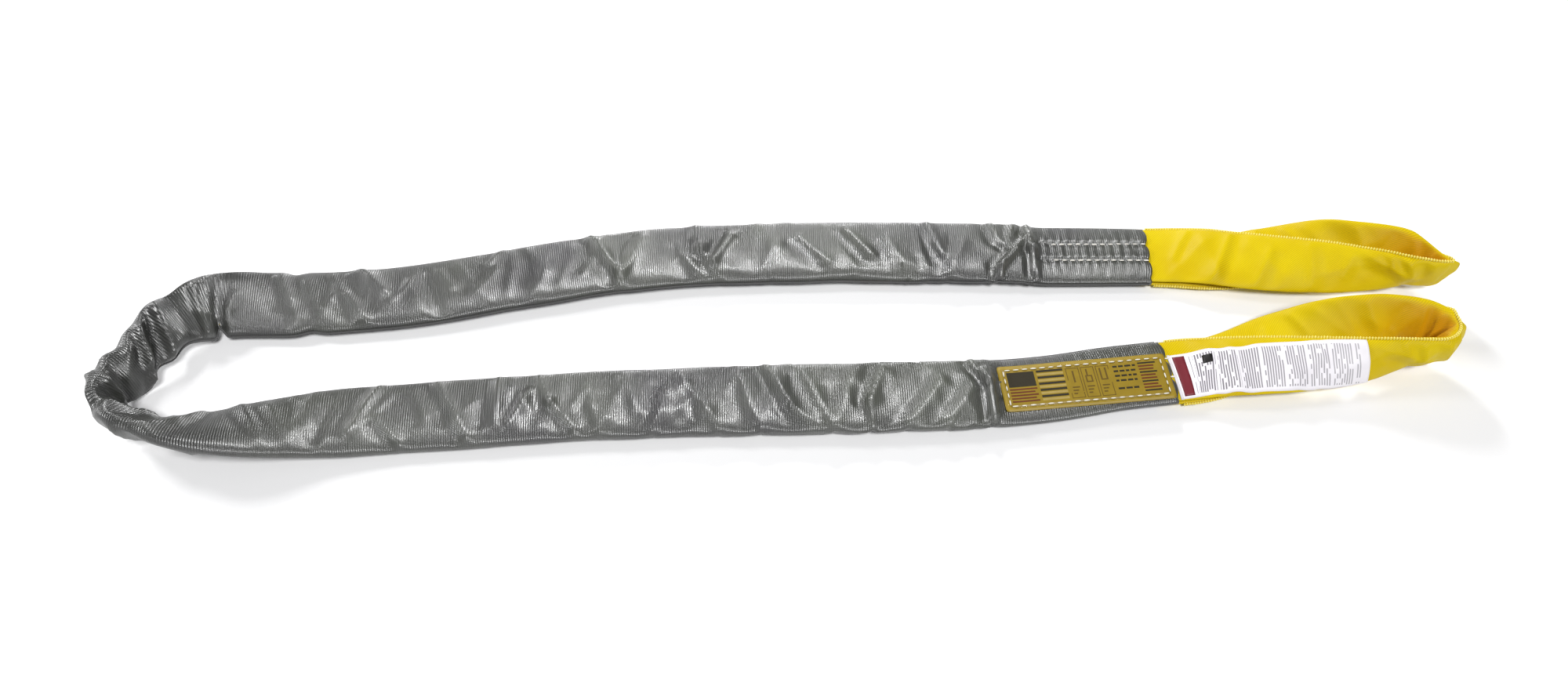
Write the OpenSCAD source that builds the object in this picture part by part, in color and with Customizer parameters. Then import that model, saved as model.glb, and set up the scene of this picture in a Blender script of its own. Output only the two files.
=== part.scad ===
// Eye-and-eye round sling, laid out on the floor folded in half.
// An endless hank of load yarn runs in a yellow jacket; a grey cover gathers the
// two runs of each leg, and the two ends of the loop stay free as yellow eyes.
// The sling lies along X: the fold is at the low end, the eyes at the high end.

/* [Sling] */
// Thickness of the grey cover with both runs inside it
cover_t = 24; // [23.6:0.1:25]
// Wall of the grey cover cloth
cover_wall = 1.2; // [0.8:0.1:1.2]
// Thickness of one jacketed run
run_t = 10.2; // [9.8:0.1:10.2]
// Wall of the yellow jacket cloth
jacket_wall = 0.9; // [0.6:0.1:1]
// Air between the load yarn and its jacket
yarn_gap = 0.5; // [0.3:0.1:0.6]

/* [Eyes] */
// Centre-line radius of the upper eye's end bend
upper_bend_r = 22; // [20:0.5:23]
// Centre-line radius of the lower eye's end bend
lower_bend_r = 28; // [26:0.5:29]
// Thickness of the gathered band round each end bend
bend_t = 20; // [16:0.5:21]

/* [Tag and label] */
// Length of the identification tag
tag_length = 186; // [150:1:190]
// Width of the identification tag
tag_w = 58; // [50:1:60]
// Length of the user label
label_length = 208; // [150:1:210]
// Width of the user label
label_w = 54; // [40:1:56]

/* [Stitches] */
// Length of one visible stitch
stitch_length = 6; // [4:0.5:7]
// Distance from one stitch to the next
stitch_pitch = 9.5; // [8.5:0.5:12]
// Radius of the sewing thread
thread_r = 0.6; // [0.4:0.1:0.6]

/* [Hidden] */

grey = "#808080";
yellow = "#f0d90f";
yarn = "#f4f1e6";
thread = "#f2efe4";

// Half of the gap left at each joint between two bodies
joint_gap = 0.6;
// Splines take this many steps from one route point to the next
leg_steps = 2;
eye_steps = 3;
// Middle of the whole sling in the routes' own coordinates
middle = [18.5, -19.7, 0];
run_offset = (run_t + 0.4) / 2;
// The cover is this much wider than the two runs that it holds
run_side_gap = 10;
bend_side = bend_t * 0.3;
bend_steps = 10;

// A route point is [x, y, z, bank, width, thickness]: bank lifts the outer edge
// of the band, in degrees. The upper leg's route starts at its cover end, and the
// lower leg's at the fold.
upper_leg_route = [
  [430, 102, 12, 0, 80, 24], [390, 103, 12, 0, 82, 24], [300, 103, 12, 0, 84, 24],
  [150, 105, 12, 0, 84, 24], [0, 104, 12, 0, 84, 24], [-100, 101, 12, 0, 84, 24],
  [-200, 90, 12, 0, 84, 24], [-300, 68, 12, 0, 84, 24], [-400, 46, 12, 0, 84, 24],
  [-480, 34, 12, 0, 84, 24], [-560, 28, 13, 2, 84, 24], [-612, 26, 21, 16, 78, 24],
  [-648, 12, 30, 36, 72, 24], [-674, -18, 36, 54, 70, 24], [-690, -52, 38, 70, 70, 24],
  [-704, -80, 39, 84, 70, 24], [-711, -96, 39, 90, 70, 24], [-711, -108, 39, 90, 70, 24]];
lower_leg_route = [
  [-711, -108, 39, 90, 70, 24], [-711, -120, 39, 88, 70, 24], [-701, -134, 39, 78, 70, 24],
  [-676, -144, 38, 64, 72, 24],
  [-645, -150, 37, 50, 76, 24], [-605, -152, 32, 34, 80, 24], [-555, -142, 23, 18, 82, 24],
  [-500, -131, 16, 6, 84, 24], [-440, -125, 12, 0, 84, 24], [-340, -116, 12, 0, 84, 24],
  [-250, -109, 12, 0, 84, 24], [-100, -101, 12, 0, 84, 24], [50, -98, 12, 0, 84, 24],
  [200, -92, 12, 0, 84, 24], [300, -82, 12, 0, 82, 24], [350, -70, 12, 0, 80, 24],
  [390, -65, 12, 0, 80, 24], [430, -60, 12, 0, 80, 24]];

// Each eye ends in an exact half turn about a vertical pin or hook, here with the
// band on edge: the centre of the turn, and the width of the gathered band
upper_bend_at = [728, 84, 34];
upper_bend_w = 42;
lower_bend_at = [700, -24, 36];
lower_bend_w = 46;
// Route point where a band meets its end bend: side is -1 at the front, 1 at the back
function bend_point(at, r, w, side) = [at[0], at[1] + side * r, at[2], -90, w, bend_t];

// Eye routes: the front band runs from the cover end to the end bend, with its far
// edge lifting, and the back band from the bend back to the cover end, under the
// front band. A negative bank lifts the inner edge, and -180 is upside down.
upper_front_route = [
  [430, 102, 17.6, 0, 78, 10.6], [450, 102, 17.8, 0, 79, 10.6], [480, 97, 18.4, -1, 80, 10.6],
  [525, 87, 20.5, -4, 78, 11], [570, 80, 22.5, -12, 70, 12], [620, 73, 25, -24, 60, 14],
  [660, 68, 28, -42, 50, 17], [690, 63, 32, -68, 44, 19], [710, 62, 34, -90, 43, 20],
  bend_point(upper_bend_at, upper_bend_r, upper_bend_w, -1)];
upper_back_route = [
  bend_point(upper_bend_at, upper_bend_r, upper_bend_w, 1),
  [708, 106, 34, -90, 43, 20], [682, 110, 31, -106, 46, 18], [644, 115, 24, -128, 50, 14],
  [607, 115.5, 13, -166, 60, 12], [570, 107, 7.5, -178, 76, 11], [525, 98, 6.4, -180, 80, 10.6],
  [480, 98, 6.4, -180, 80, 10.6], [450, 102, 6.4, -180, 79, 10.6], [430, 102, 6.4, -180, 78, 10.6]];
lower_front_route = [
  [430, -60, 17.6, 0, 78, 10.6], [450, -57.5, 17.8, 0, 78, 10.6], [490, -60, 19, -3, 72, 10.6],
  [545, -60, 22.5, -14, 64, 12], [592, -60, 25, -30, 54, 15], [635, -58, 29, -52, 47, 18],
  [662, -54, 34, -76, 46, 20], [682, -52, 36, -90, 46, 20],
  bend_point(lower_bend_at, lower_bend_r, lower_bend_w, -1)];
lower_back_route = [
  bend_point(lower_bend_at, lower_bend_r, lower_bend_w, 1),
  [682, 4, 36, -90, 48, 20], [652, 4, 31, -112, 56, 17], [605, -6, 24, -136, 58, 13],
  [570, -14, 14, -164, 62, 11], [541, -20, 8.5, -176, 68, 10.6], [495, -46, 6.6, -180, 74, 10.6],
  [450, -57.5, 6.4, -180, 78, 10.6], [430, -60, 6.4, -180, 78, 10.6]];

function unit(v) = v / norm(v);
function last(list) = list[len(list) - 1];
// Route with one more point at each end, so that the spline starts and ends on it
function extended(route) = concat([2 * route[0] - route[1]], route,
  [2 * last(route) - route[len(route) - 2]]);
function spline_point(p, i, t) = (pow(1 - t, 3) * p[i]
  + (3 * pow(t, 3) - 6 * t * t + 4) * p[i + 1]
  + (-3 * pow(t, 3) + 3 * t * t + 3 * t + 1) * p[i + 2]
  + pow(t, 3) * p[i + 3]) / 6;
function spline(route, steps) = let (q = extended(route), spans = len(route) - 1)
  [for (i = [0:spans * steps]) let (k = min(floor(i / steps), spans - 1))
    spline_point(q, k, i / steps - k)];
function place(p) = [p[0], p[1], p[2]];

// A frame is [centre, across, out, width, thickness]
function frame_at(centre, along, bank, w, t) = let (
    side = unit(cross(along, [0, 0, 1])), up = cross(side, along),
    across = cos(bank) * side + sin(bank) * up)
  [centre, across, cross(across, along), w, t];
function frames(route, steps = eye_steps) = let (p = spline(route, steps), n = len(p))
  [for (i = [0:n - 1]) let (along = unit(place(p[min(i + 1, n - 1)]) - place(p[max(i - 1, 0)])))
    frame_at(place(p[i]), along, p[i][3], p[i][4], p[i][5])];
// Frames with the two ends drawn in by a gap, so that neighbours don't touch
function trimmed(f, gap) = let (n = len(f) - 1)
  [for (i = [0:n]) i == 0 ? toward(f[0], f[1], gap) : i == n ? toward(f[n], f[n - 1], gap) : f[i]];
// One frame moved by a gap towards its neighbour
function toward(g, next, gap) = [g[0] + gap * unit(next[0] - g[0]), g[1], g[2], g[3], g[4]];
function grown(f, dw, dt) = [for (g = f) [g[0], g[1], g[2], g[3] + dw, g[4] + dt]];
function shifted(f, out) = [for (g = f) [g[0] + out * g[2], g[1], g[2], g[3], g[4]]];
function stretch(f, first, final) = [for (i = [first:final]) f[i]];
// One point on each frame's edge: side is -1 for the inner edge, 1 for the outer
function edge_frames(f, side, beyond, w) =
  [for (g = f) [g[0] + side * (g[3] / 2 + beyond) * g[1], g[1], g[2], w, w]];

// Outline of a flattened tube: a rectangle whose corners are rounded
function outline(w, t, corner, turns = [0, 45, 90]) = [for (c = [0:3]) for (a = turns)
  [(c == 0 || c == 3 ? 1 : -1) * (w / 2 - corner) + corner * cos(90 * c + a),
   (c < 2 ? 1 : -1) * (t / 2 - corner) + corner * sin(90 * c + a)]];
function ring(g, corner_share, turns = [0, 45, 90]) = [for (q = outline(g[3], g[4],
    g[4] * corner_share, turns))
  g[0] + q[0] * g[1] + q[1] * g[2]];
function flat(lists) = [for (l = lists) for (v = l) v];
// Side faces between rings, which turn outwards, or inwards when flipped. The
// diagonals run the same way on both faces, so that twisted layers stay parallel.
function skin(first, rings, m, flip) = [for (i = [0:rings - 2]) for (k = [0:m - 1])
  let (a = first + i * m + k, b = first + i * m + (k + 1) % m, quad = [a, a + m, b + m, b])
  for (tri = k < m / 2 ? [[2, 1, 0], [3, 2, 0]] : [[3, 1, 0], [3, 2, 1]])
  let (f = [quad[tri[0]], quad[tri[1]], quad[tri[2]]]) flip ? [f[2], f[1], f[0]] : f];

// Corner radii of a band's outline, as shares of its thickness
outer_corner = 0.36;
inner_corner = 0.34;
seam_corner = 0.3;
// Yarn and seams take fewer points round each corner
few_turns = [0, 90];

// Solid band along frames
module strand(f, corner_share = outer_corner, turns = few_turns) {
  rings = [for (g = f) ring(g, corner_share, turns)];
  m = len(rings[0]);
  n = len(f);
  polyhedron(flat(rings), concat(skin(0, n, m, false),
    [[for (k = [m - 1:-1:0]) k]], [[for (k = [0:m - 1]) (n - 1) * m + k]]));
}

// Open tube of cloth along frames, with the given wall
module sleeve(f, wall) {
  outer = [for (g = f) ring(g, outer_corner)];
  inner = [for (g = grown(f, -2 * wall, -2 * wall)) ring(g, inner_corner)];
  m = len(outer[0]);
  n = len(f);
  caps = flat([for (k = [0:m - 1]) let (j = (k + 1) % m, o = (n - 1) * m, h = n * m)
    [[h + j, j, k], [h + k, h + j, k],
     [o + j, h + o + j, o + k], [h + o + j, h + o + k, o + k]]]);
  polyhedron(concat(flat(outer), flat(inner)),
    concat(skin(0, n, m, false), skin(n * m, n, m, true), caps));
}

// The same tube as an exact half turn about a vertical pin
module bend_sleeve(r, w, t, wall) {
  rotate(-90) rotate_extrude(angle = 180, $fn = 96) translate([r, 0]) difference() {
    bend_outline(w, t, bend_side);
    bend_outline(w - 2 * wall, t - 2 * wall, bend_side - wall);
  }
}
module bend_outline(w, t, corner) {
  square([t, w - 2 * corner], center = true);
  square([t - 2 * corner, w], center = true);
  for (x = [-1, 1], y = [-1, 1]) translate([x * (t / 2 - corner), y * (w / 2 - corner)])
    circle(corner, $fn = 48);
}
function bend_frames(at, r, w) = [for (i = [0:bend_steps])
  let (a = -90 + 180 * i / bend_steps)
  frame_at(at + r * [cos(a), sin(a), 0], [-sin(a), cos(a), 0], -90, w, bend_t)];

upper_leg = frames(upper_leg_route, leg_steps);
lower_leg = frames(lower_leg_route, leg_steps);
upper_front = frames(upper_front_route);
upper_back = frames(upper_back_route);
lower_front = frames(lower_front_route);
lower_back = frames(lower_back_route);
upper_bend = bend_frames(upper_bend_at, upper_bend_r, upper_bend_w);
lower_bend = bend_frames(lower_bend_at, lower_bend_r, lower_bend_w);

function inside_cover(f, level) = trimmed(shifted(grown(f, -run_side_gap, run_t - cover_t),
  level * run_offset), joint_gap);
function inside_jacket(f) = grown(f, -2 * (jacket_wall + yarn_gap), -2 * (jacket_wall + yarn_gap));

module placed() { translate(-middle) children(); }

module upper_cover() { color(grey) placed() sleeve(trimmed(upper_leg, joint_gap), cover_wall); }
module lower_cover() { color(grey) placed() sleeve(trimmed(lower_leg, joint_gap), cover_wall); }
seam_w = 3;
seam_gap = 0.2;
module cover_seam(f) {
  color("#5a5a5a") placed()
    strand(edge_frames(trimmed(f, joint_gap), -1, seam_w / 2 + seam_gap, seam_w), seam_corner);
}
module upper_cover_seam() { cover_seam(upper_leg); }
module lower_cover_seam() { cover_seam(lower_leg); }

module run_jacket(f, level) { color(yellow) placed() sleeve(inside_cover(f, level), jacket_wall); }
module run_core(f, level) { color(yarn) placed() strand(inside_jacket(inside_cover(f, level))); }
module upper_jacket_top_run() { run_jacket(upper_leg, 1); }
module upper_jacket_bottom_run() { run_jacket(upper_leg, -1); }
module lower_jacket_top_run() { run_jacket(lower_leg, 1); }
module lower_jacket_bottom_run() { run_jacket(lower_leg, -1); }
module upper_core_top_run() { run_core(upper_leg, 1); }
module upper_core_bottom_run() { run_core(upper_leg, -1); }
module lower_core_top_run() { run_core(lower_leg, 1); }
module lower_core_bottom_run() { run_core(lower_leg, -1); }

// Tape wound round the joined yarn ends, between the yarn and the jacket
tape_first = 18;
tape_last = 20;
tape_over = 0.35;
tape_wall = 0.25;
module core_splice_tape() {
  yarn_run = inside_jacket(inside_cover(lower_leg, 1));
  color("#3d6fb0") placed()
    sleeve(grown(stretch(yarn_run, tape_first, tape_last), 2 * tape_over, 2 * tape_over), tape_wall);
}

// The jacket round an eye is one tube: its front and back bands butt against the
// end bend, which is an exact half turn round the pin or hook
butt_gap = 0.15;
module eye_bend(at, r, w) {
  color(yellow) placed() translate(at + [butt_gap, 0, 0]) bend_sleeve(r, w, bend_t, jacket_wall);
}
// Bands are drawn in by the joint gap at the cover end only
function from_cover(f) = let (n = len(f) - 1)
  [for (i = [0:n]) i == 0 ? toward(f[0], f[1], joint_gap) : f[i]];
function to_cover(f) = let (n = len(f) - 1)
  [for (i = [0:n]) i == n ? toward(f[n], f[n - 1], joint_gap) : f[i]];
// All frames of an eye, from the cover end round the bend and back
function eye_frames(front, bend, back) = concat(from_cover(front), stretch(bend, 1, bend_steps - 1),
  to_cover(back));

module eye_jacket(f) { color(yellow) placed() sleeve(f, jacket_wall); }
module upper_eye_front_jacket() { eye_jacket(from_cover(upper_front)); }
module upper_eye_bend_jacket() { eye_bend(upper_bend_at, upper_bend_r, upper_bend_w); }
module upper_eye_back_jacket() { eye_jacket(to_cover(upper_back)); }
module lower_eye_front_jacket() { eye_jacket(from_cover(lower_front)); }
module lower_eye_bend_jacket() { eye_bend(lower_bend_at, lower_bend_r, lower_bend_w); }
module lower_eye_back_jacket() { eye_jacket(to_cover(lower_back)); }
module eye_core(f) { color(yarn) placed() strand(inside_jacket(f)); }
module upper_eye_core() { eye_core(eye_frames(upper_front, upper_bend, upper_back)); }
module lower_eye_core() { eye_core(eye_frames(lower_front, lower_bend, lower_back)); }
module eye_seam(f) {
  color("#fff27a") placed() strand(edge_frames(f, -1, seam_w / 2 + seam_gap, seam_w), seam_corner);
}
module upper_eye_seam() { eye_seam(eye_frames(upper_front, upper_bend, upper_back)); }
module lower_eye_seam() { eye_seam(eye_frames(lower_front, lower_bend, lower_back)); }

// Rows of sewing thread on top of the cover ends
rest_gap = 0.12;
row_step = 24;
row_stitches = 12;
module stitch_row(count, pitch) {
  for (i = [0:count - 1]) translate([-i * pitch, 0, 0])
    rotate([0, -90, 0]) cylinder(h = stitch_length, r = thread_r, $fn = 24);
}
upper_row = [424, 102.5];
lower_row = [424, -60.5];
lower_row_heading = 5.7;
module closing_stitches(end, heading) {
  color(thread) placed() translate([end[0], end[1], cover_t + thread_r + rest_gap])
    rotate(heading) for (side = [-1, 1]) translate([0, side * row_step / 2, 0])
      stitch_row(row_stitches, stitch_pitch);
}
module upper_closing_stitches() { closing_stitches(upper_row, 0); }
module lower_closing_stitches() { closing_stitches(lower_row, lower_row_heading); }

// The tag lies on the lower leg, with its print under clear film
tag_place = [322, -82];
tag_heading = 5.8;
tag_z = cover_t + 2 * thread_r + 2 * rest_gap;
backing_t = 0.8;
insert_t = 0.4;
film_t = 0.3;
insert_margin = 5;
film_margin = 3;
insert_z = tag_z + backing_t + rest_gap;
film_z = insert_z + insert_t + rest_gap;
module plate(length, w, t, z, corner) {
  translate([tag_place[0] - middle[0], tag_place[1] - middle[1], z - middle[2]]) rotate(tag_heading)
    linear_extrude(t) union() {
      square([length - 2 * corner, w], center = true);
      square([length, w - 2 * corner], center = true);
      for (x = [-1, 1], y = [-1, 1]) translate([x * (length / 2 - corner), y * (w / 2 - corner)])
        circle(corner, $fn = 24);
    }
}
module tag_backing() { color("#b08f1f") plate(tag_length, tag_w, backing_t, tag_z, 2); }
module tag_insert() {
  color("#c9ad3a")
    plate(tag_length - 2 * insert_margin, tag_w - 2 * insert_margin, insert_t, insert_z, 1);
}
module tag_film() {
  color("#e8e4d0", 0.4)
    plate(tag_length - 2 * film_margin, tag_w - 2 * film_margin, film_t, film_z, 1.5);
}
tag_seam_inset = 5;
module tag_stitches() {
  seam_length = tag_length - 2 * tag_seam_inset;
  seam_width = tag_w - 2 * tag_seam_inset;
  along = floor(seam_length / stitch_pitch);
  over = floor(seam_width / stitch_pitch);
  color(thread) placed()
    translate([tag_place[0], tag_place[1], film_z + film_t + thread_r + rest_gap]) rotate(tag_heading) {
      for (side = [-1, 1]) translate([seam_length / 2 - 2, side * seam_width / 2, 0])
        stitch_row(along, seam_length / along);
      for (side = [-1, 1]) translate([side * seam_length / 2, seam_width / 2 - 2, 0])
        rotate(90) stitch_row(over, seam_width / over);
    }
}

// The label is sewn under the cover end and lies on the lower eye's front band
label_t = 0.8;
label_first = 1;
label_side = 6;
label_lift = 1.2;
strip_lift = 0.3;
header_length = 13;
header_t = 0.3;
header_start = 4;
header_margin = 2;
hem_length = 2.5;
hem_t = 0.4;
label_frames = label_run(lower_front, label_length);
// Frames of the band's top from the cover end, up to a length along it
function label_run(f, length) = let (steps_along = [for (i = [0:len(f) - 2]) norm(f[i + 1][0] - f[i][0])],
    reach = [for (i = 0, d = 0; i < len(f) - 1; d = d + steps_along[i], i = i + 1) d],
    inside = [for (i = [label_first:len(reach) - 1]) if (reach[i] < length) i],
    end = last(inside), share = (length - reach[end]) / steps_along[end])
  [for (g = concat([for (i = inside) f[i]], [between(f[end], f[end + 1], share)]))
    [g[0] + label_side * g[1] + (g[4] / 2 + label_lift + label_t / 2) * g[2], g[1], g[2],
     label_w, label_t]];
function between(a, b, share) = [for (k = [0:4]) a[k] + share * (b[k] - a[k])];
module label_piece(f, tint) { color(tint) placed() strand(f); }
module user_label() { label_piece(label_frames, "#f0ecf0"); }
// Strip on top of the label, from one distance to another along its first run
module label_strip(from, length, w, t, tint) {
  a = label_frames[0];
  step = unit(label_frames[1][0] - a[0]);
  out = (label_t + t) / 2 + strip_lift;
  label_piece([for (d = [from, from + length])
    [a[0] + d * step + out * a[2], a[1], a[2], w, t]], tint);
}
module label_header() {
  label_strip(header_start, header_length, label_w - 2 * header_margin, header_t, "#7b2233");
}
module label_hem() { label_strip(0, hem_length, label_w, hem_t, "#e4e0e4"); }

upper_cover();
lower_cover();
upper_cover_seam();
lower_cover_seam();
upper_jacket_top_run();
upper_jacket_bottom_run();
lower_jacket_top_run();
lower_jacket_bottom_run();
upper_core_top_run();
upper_core_bottom_run();
lower_core_top_run();
lower_core_bottom_run();
core_splice_tape();
upper_eye_front_jacket();
upper_eye_bend_jacket();
upper_eye_back_jacket();
lower_eye_front_jacket();
lower_eye_bend_jacket();
lower_eye_back_jacket();
upper_eye_core();
lower_eye_core();
upper_eye_seam();
lower_eye_seam();
upper_closing_stitches();
lower_closing_stitches();
tag_backing();
tag_insert();
tag_film();
tag_stitches();
user_label();
label_header();
label_hem();
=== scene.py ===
# Eye-and-eye round sling, laid out on a pale floor folded in half. Lengths are in
# metres; route points and cloth sizes are in millimetres, as the sling is drawn.
import math
import random

import bpy
import numpy as np
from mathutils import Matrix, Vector, noise
from mathutils.bvhtree import BVHTree


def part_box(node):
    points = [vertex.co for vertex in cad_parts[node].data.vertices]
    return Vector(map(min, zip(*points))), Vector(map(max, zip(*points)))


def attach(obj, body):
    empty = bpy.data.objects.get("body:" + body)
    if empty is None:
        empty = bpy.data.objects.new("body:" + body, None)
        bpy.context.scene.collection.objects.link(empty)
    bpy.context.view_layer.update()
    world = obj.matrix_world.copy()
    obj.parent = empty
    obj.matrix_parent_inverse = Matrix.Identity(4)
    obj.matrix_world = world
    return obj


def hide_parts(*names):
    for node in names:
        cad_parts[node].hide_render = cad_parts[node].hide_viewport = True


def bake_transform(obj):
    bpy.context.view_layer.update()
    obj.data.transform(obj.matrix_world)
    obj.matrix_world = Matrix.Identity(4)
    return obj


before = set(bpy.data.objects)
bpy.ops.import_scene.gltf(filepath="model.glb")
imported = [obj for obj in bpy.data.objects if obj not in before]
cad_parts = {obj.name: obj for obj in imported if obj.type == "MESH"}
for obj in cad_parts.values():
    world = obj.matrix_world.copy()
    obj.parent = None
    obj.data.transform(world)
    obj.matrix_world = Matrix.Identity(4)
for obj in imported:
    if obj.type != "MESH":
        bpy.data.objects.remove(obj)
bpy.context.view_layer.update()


# Camera: stands in front of the sling at about head height and looks down at it,
# so that both legs show from above and the eyes open away from it.
camera = bpy.data.objects.new("camera", bpy.data.cameras.new("camera"))
bpy.context.collection.objects.link(camera)
camera.location = (-0.0185, -0.8073, 1.150)
camera.rotation_euler = (math.radians(35), 0, 0)
camera.data.lens = 28.8
camera.data.sensor_width = 36
bpy.context.scene.camera = camera


# Lights: a wide soft lamp high in front, a soft panel low behind the fold that rakes
# across the creases, and an even white surround.
def soft_light(name, kind, place, aim, power, **settings):
    light = bpy.data.objects.new(name, bpy.data.lights.new(name, kind))
    bpy.context.collection.objects.link(light)
    light.data.energy = power
    for setting, value in settings.items():
        setattr(light.data, setting, value)
    light.location = place
    light.rotation_euler = (Vector(place) - Vector(aim)).to_track_quat("Z", "Y").to_euler()


soft_light("front_lamp", "SUN", (0.5, -1.0, 2.0), (0, 0, 0), 2.5, angle=math.radians(16))
soft_light("left_panel", "AREA", (-2.0, 0.6, 1.25), (-0.5, 0, 0), 20, shape="DISK", size=0.45)
soft_light("back_panel", "AREA", (-0.05, 1.75, 1.02), (0, 0, 0), 29, shape="DISK", size=0.45)
world = bpy.data.worlds.new("studio")
world.use_nodes = True
world.node_tree.nodes["Background"].inputs["Color"].default_value = (0.97, 0.975, 1, 1)
world.node_tree.nodes["Background"].inputs["Strength"].default_value = 0.19
bpy.context.scene.world = world
bpy.context.scene.view_settings.view_transform = "Standard"


# Floor: a plain pale sheet, far larger than the view.
def put(tree, kind, sockets, **settings):
    """Adds a node. A socket takes a plain value, or another node's output."""
    made = tree.nodes.new(kind)
    for name, value in settings.items():
        setattr(made, name, value)
    for name, value in sockets.items():
        if isinstance(value, bpy.types.NodeSocket):
            tree.links.new(value, made.inputs[name])
        else:
            made.inputs[name].default_value = value
    return made


def new_finish(name, colour, **constants):
    """A material with one shader, whose constant sockets are set on the shader itself."""
    finish = bpy.data.materials.new(name)
    finish.use_nodes = True
    shader = finish.node_tree.nodes["Principled BSDF"]
    shader.inputs["Base Color"].default_value = (*colour, 1)
    for socket, value in constants.items():
        shader.inputs[socket.replace("_", " ")].default_value = value
    return finish, finish.node_tree, shader


def new_piece(name, points, faces, finish):
    """A mesh object at the origin, from points in metres."""
    mesh = bpy.data.meshes.new(name)
    mesh.from_pydata([tuple(p) for p in points], [], [tuple(f) for f in faces])
    mesh.materials.append(finish)
    mesh.shade_smooth()
    piece = bpy.data.objects.new(name, mesh)
    bpy.context.collection.objects.link(piece)
    return piece


floor_finish, tree, shader = new_finish("pale_floor", (0.93, 0.93, 0.935), Roughness=0.9)
reach = 6
floor = new_piece("floor", [(-reach, -reach, -0.0004), (reach, -reach, -0.0004),
                            (reach, reach, -0.0004), (-reach, reach, -0.0004)],
                  [(0, 1, 2, 3)], floor_finish)


# Load yarn and its jacket inside the grey cover: an endless hank of parallel
# polyester yarn in a yellow tube. Two runs lie one on the other in each leg and
# pass round the fold, so each run is one piece from one cover end to the other.
middle = np.array([18.5, -19.7, 0.0])
# A route point is x, y, z, bank, width, thickness; bank lifts the outer edge
leg_route = [
    [430, 102, 12, 0, 80, 24], [390, 103, 12, 0, 82, 24], [300, 103, 12, 0, 84, 24],
    [150, 105, 12, 0, 84, 24], [0, 104, 12, 0, 84, 24], [-100, 101, 12, 0, 84, 24],
    [-200, 90, 12, 0, 84, 24], [-300, 68, 12, 0, 84, 24], [-400, 46, 12, 0, 84, 24],
    [-480, 34, 12, 0, 84, 24], [-560, 28, 13, 2, 84, 24], [-612, 26, 21, 16, 78, 24],
    [-648, 12, 30, 30, 72, 24], [-674, -18, 36, 43, 70, 24], [-690, -52, 38, 54, 70, 24],
    [-704, -80, 39, 70, 70, 24], [-711, -96, 39, 88, 70, 24], [-711, -108, 39, 90, 70, 24],
    [-711, -120, 39, 88, 70, 24], [-701, -134, 39, 78, 70, 24], [-676, -144, 38, 64, 72, 24],
    [-645, -150, 37, 50, 76, 24], [-605, -152, 32, 34, 80, 24], [-555, -142, 23, 18, 82, 24],
    [-500, -131, 16, 6, 84, 24], [-440, -125, 12, 0, 84, 24], [-340, -116, 12, 0, 84, 24],
    [-250, -109, 12, 0, 84, 24], [-100, -101, 12, 0, 84, 24], [50, -98, 12, 0, 84, 24],
    [200, -92, 12, 0, 84, 24], [300, -82, 12, 0, 82, 24], [350, -70, 12, 0, 80, 24],
    [390, -65, 12, 0, 80, 24], [430, -60, 12, 0, 80, 24]]
# Lengths of the flattened, sewn ends of the cover, and the leg's thickness there
upper_sewn = 128
lower_sewn = 190
sewn_t = 18


def smooth(low, high, x):
    t = np.clip((np.asarray(x, float) - low) / (high - low), 0, 1)
    return t * t * (3 - 2 * t)


def drawn_line(route):
    """Closely spaced rows along a route's smooth curve."""
    p = np.array(route, float)
    p = np.vstack([2 * p[0] - p[1], p, 2 * p[-1] - p[-2]])
    t = np.linspace(0, 1, 40, endpoint=False)[:, None]
    rows = [((1 - t) ** 3 * p[i] + (3 * t ** 3 - 6 * t * t + 4) * p[i + 1]
             + (-3 * t ** 3 + 3 * t * t + 3 * t + 1) * p[i + 2] + t ** 3 * p[i + 3]) / 6
            for i in range(len(p) - 3)]
    return np.vstack(rows + [p[-2:-1]])


def reach_of(line):
    return np.r_[0, np.cumsum(np.linalg.norm(np.diff(line[:, :3], axis=0), axis=1))]


class Band:
    """Frames along a line at given distances: across is the outer edge's way, and out
    is square to the cloth."""
    def __init__(self, line, distances):
        reach = reach_of(line)
        rows = np.stack([np.interp(distances, reach, line[:, i]) for i in range(6)], 1)
        self.s = np.asarray(distances, float)
        self.centre = rows[:, :3]
        self.w, self.t = rows[:, 4], rows[:, 5]
        along = np.gradient(rows[:, :3], self.s, axis=0)
        self.along = along / np.linalg.norm(along, axis=1)[:, None]
        side = np.cross(self.along, [0, 0, 1.0])
        side /= np.linalg.norm(side, axis=1)[:, None]
        up = np.cross(side, self.along)
        bank = np.radians(rows[:, 3])[:, None]
        self.across = np.cos(bank) * side + np.sin(bank) * up
        self.out = np.cross(self.across, self.along)

    def place(self, a, h):
        """Points at distances a across and h out of each frame, in metres."""
        a, h = np.asarray(a)[..., None], np.asarray(h)[..., None]
        p = self.centre[:, None] + a * self.across[:, None] + h * self.out[:, None]
        return (p - middle) / 1000


def even_turns(count, w, t, power):
    """Angles that space points evenly round a flattened tube's outline."""
    fine = np.linspace(0, 2 * math.pi, 2880)
    x = w * np.sign(np.cos(fine)) * np.abs(np.cos(fine)) ** (2 / power)
    y = t * np.sign(np.sin(fine)) * np.abs(np.sin(fine)) ** (2 / power)
    length = np.r_[0, np.cumsum(np.hypot(np.diff(x), np.diff(y)))]
    return np.interp(np.arange(count) / count * length[-1], length, fine)


def flattened(turns, w, t, power):
    """Outline of a flattened tube, one row for each width and thickness."""
    c, s = np.cos(turns), np.sin(turns)
    x = np.sign(c) * np.abs(c) ** (2 / power)
    y = np.sign(s) * np.abs(s) ** (2 / power)
    return np.outer(w / 2, x), np.outer(t / 2, y)


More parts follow.
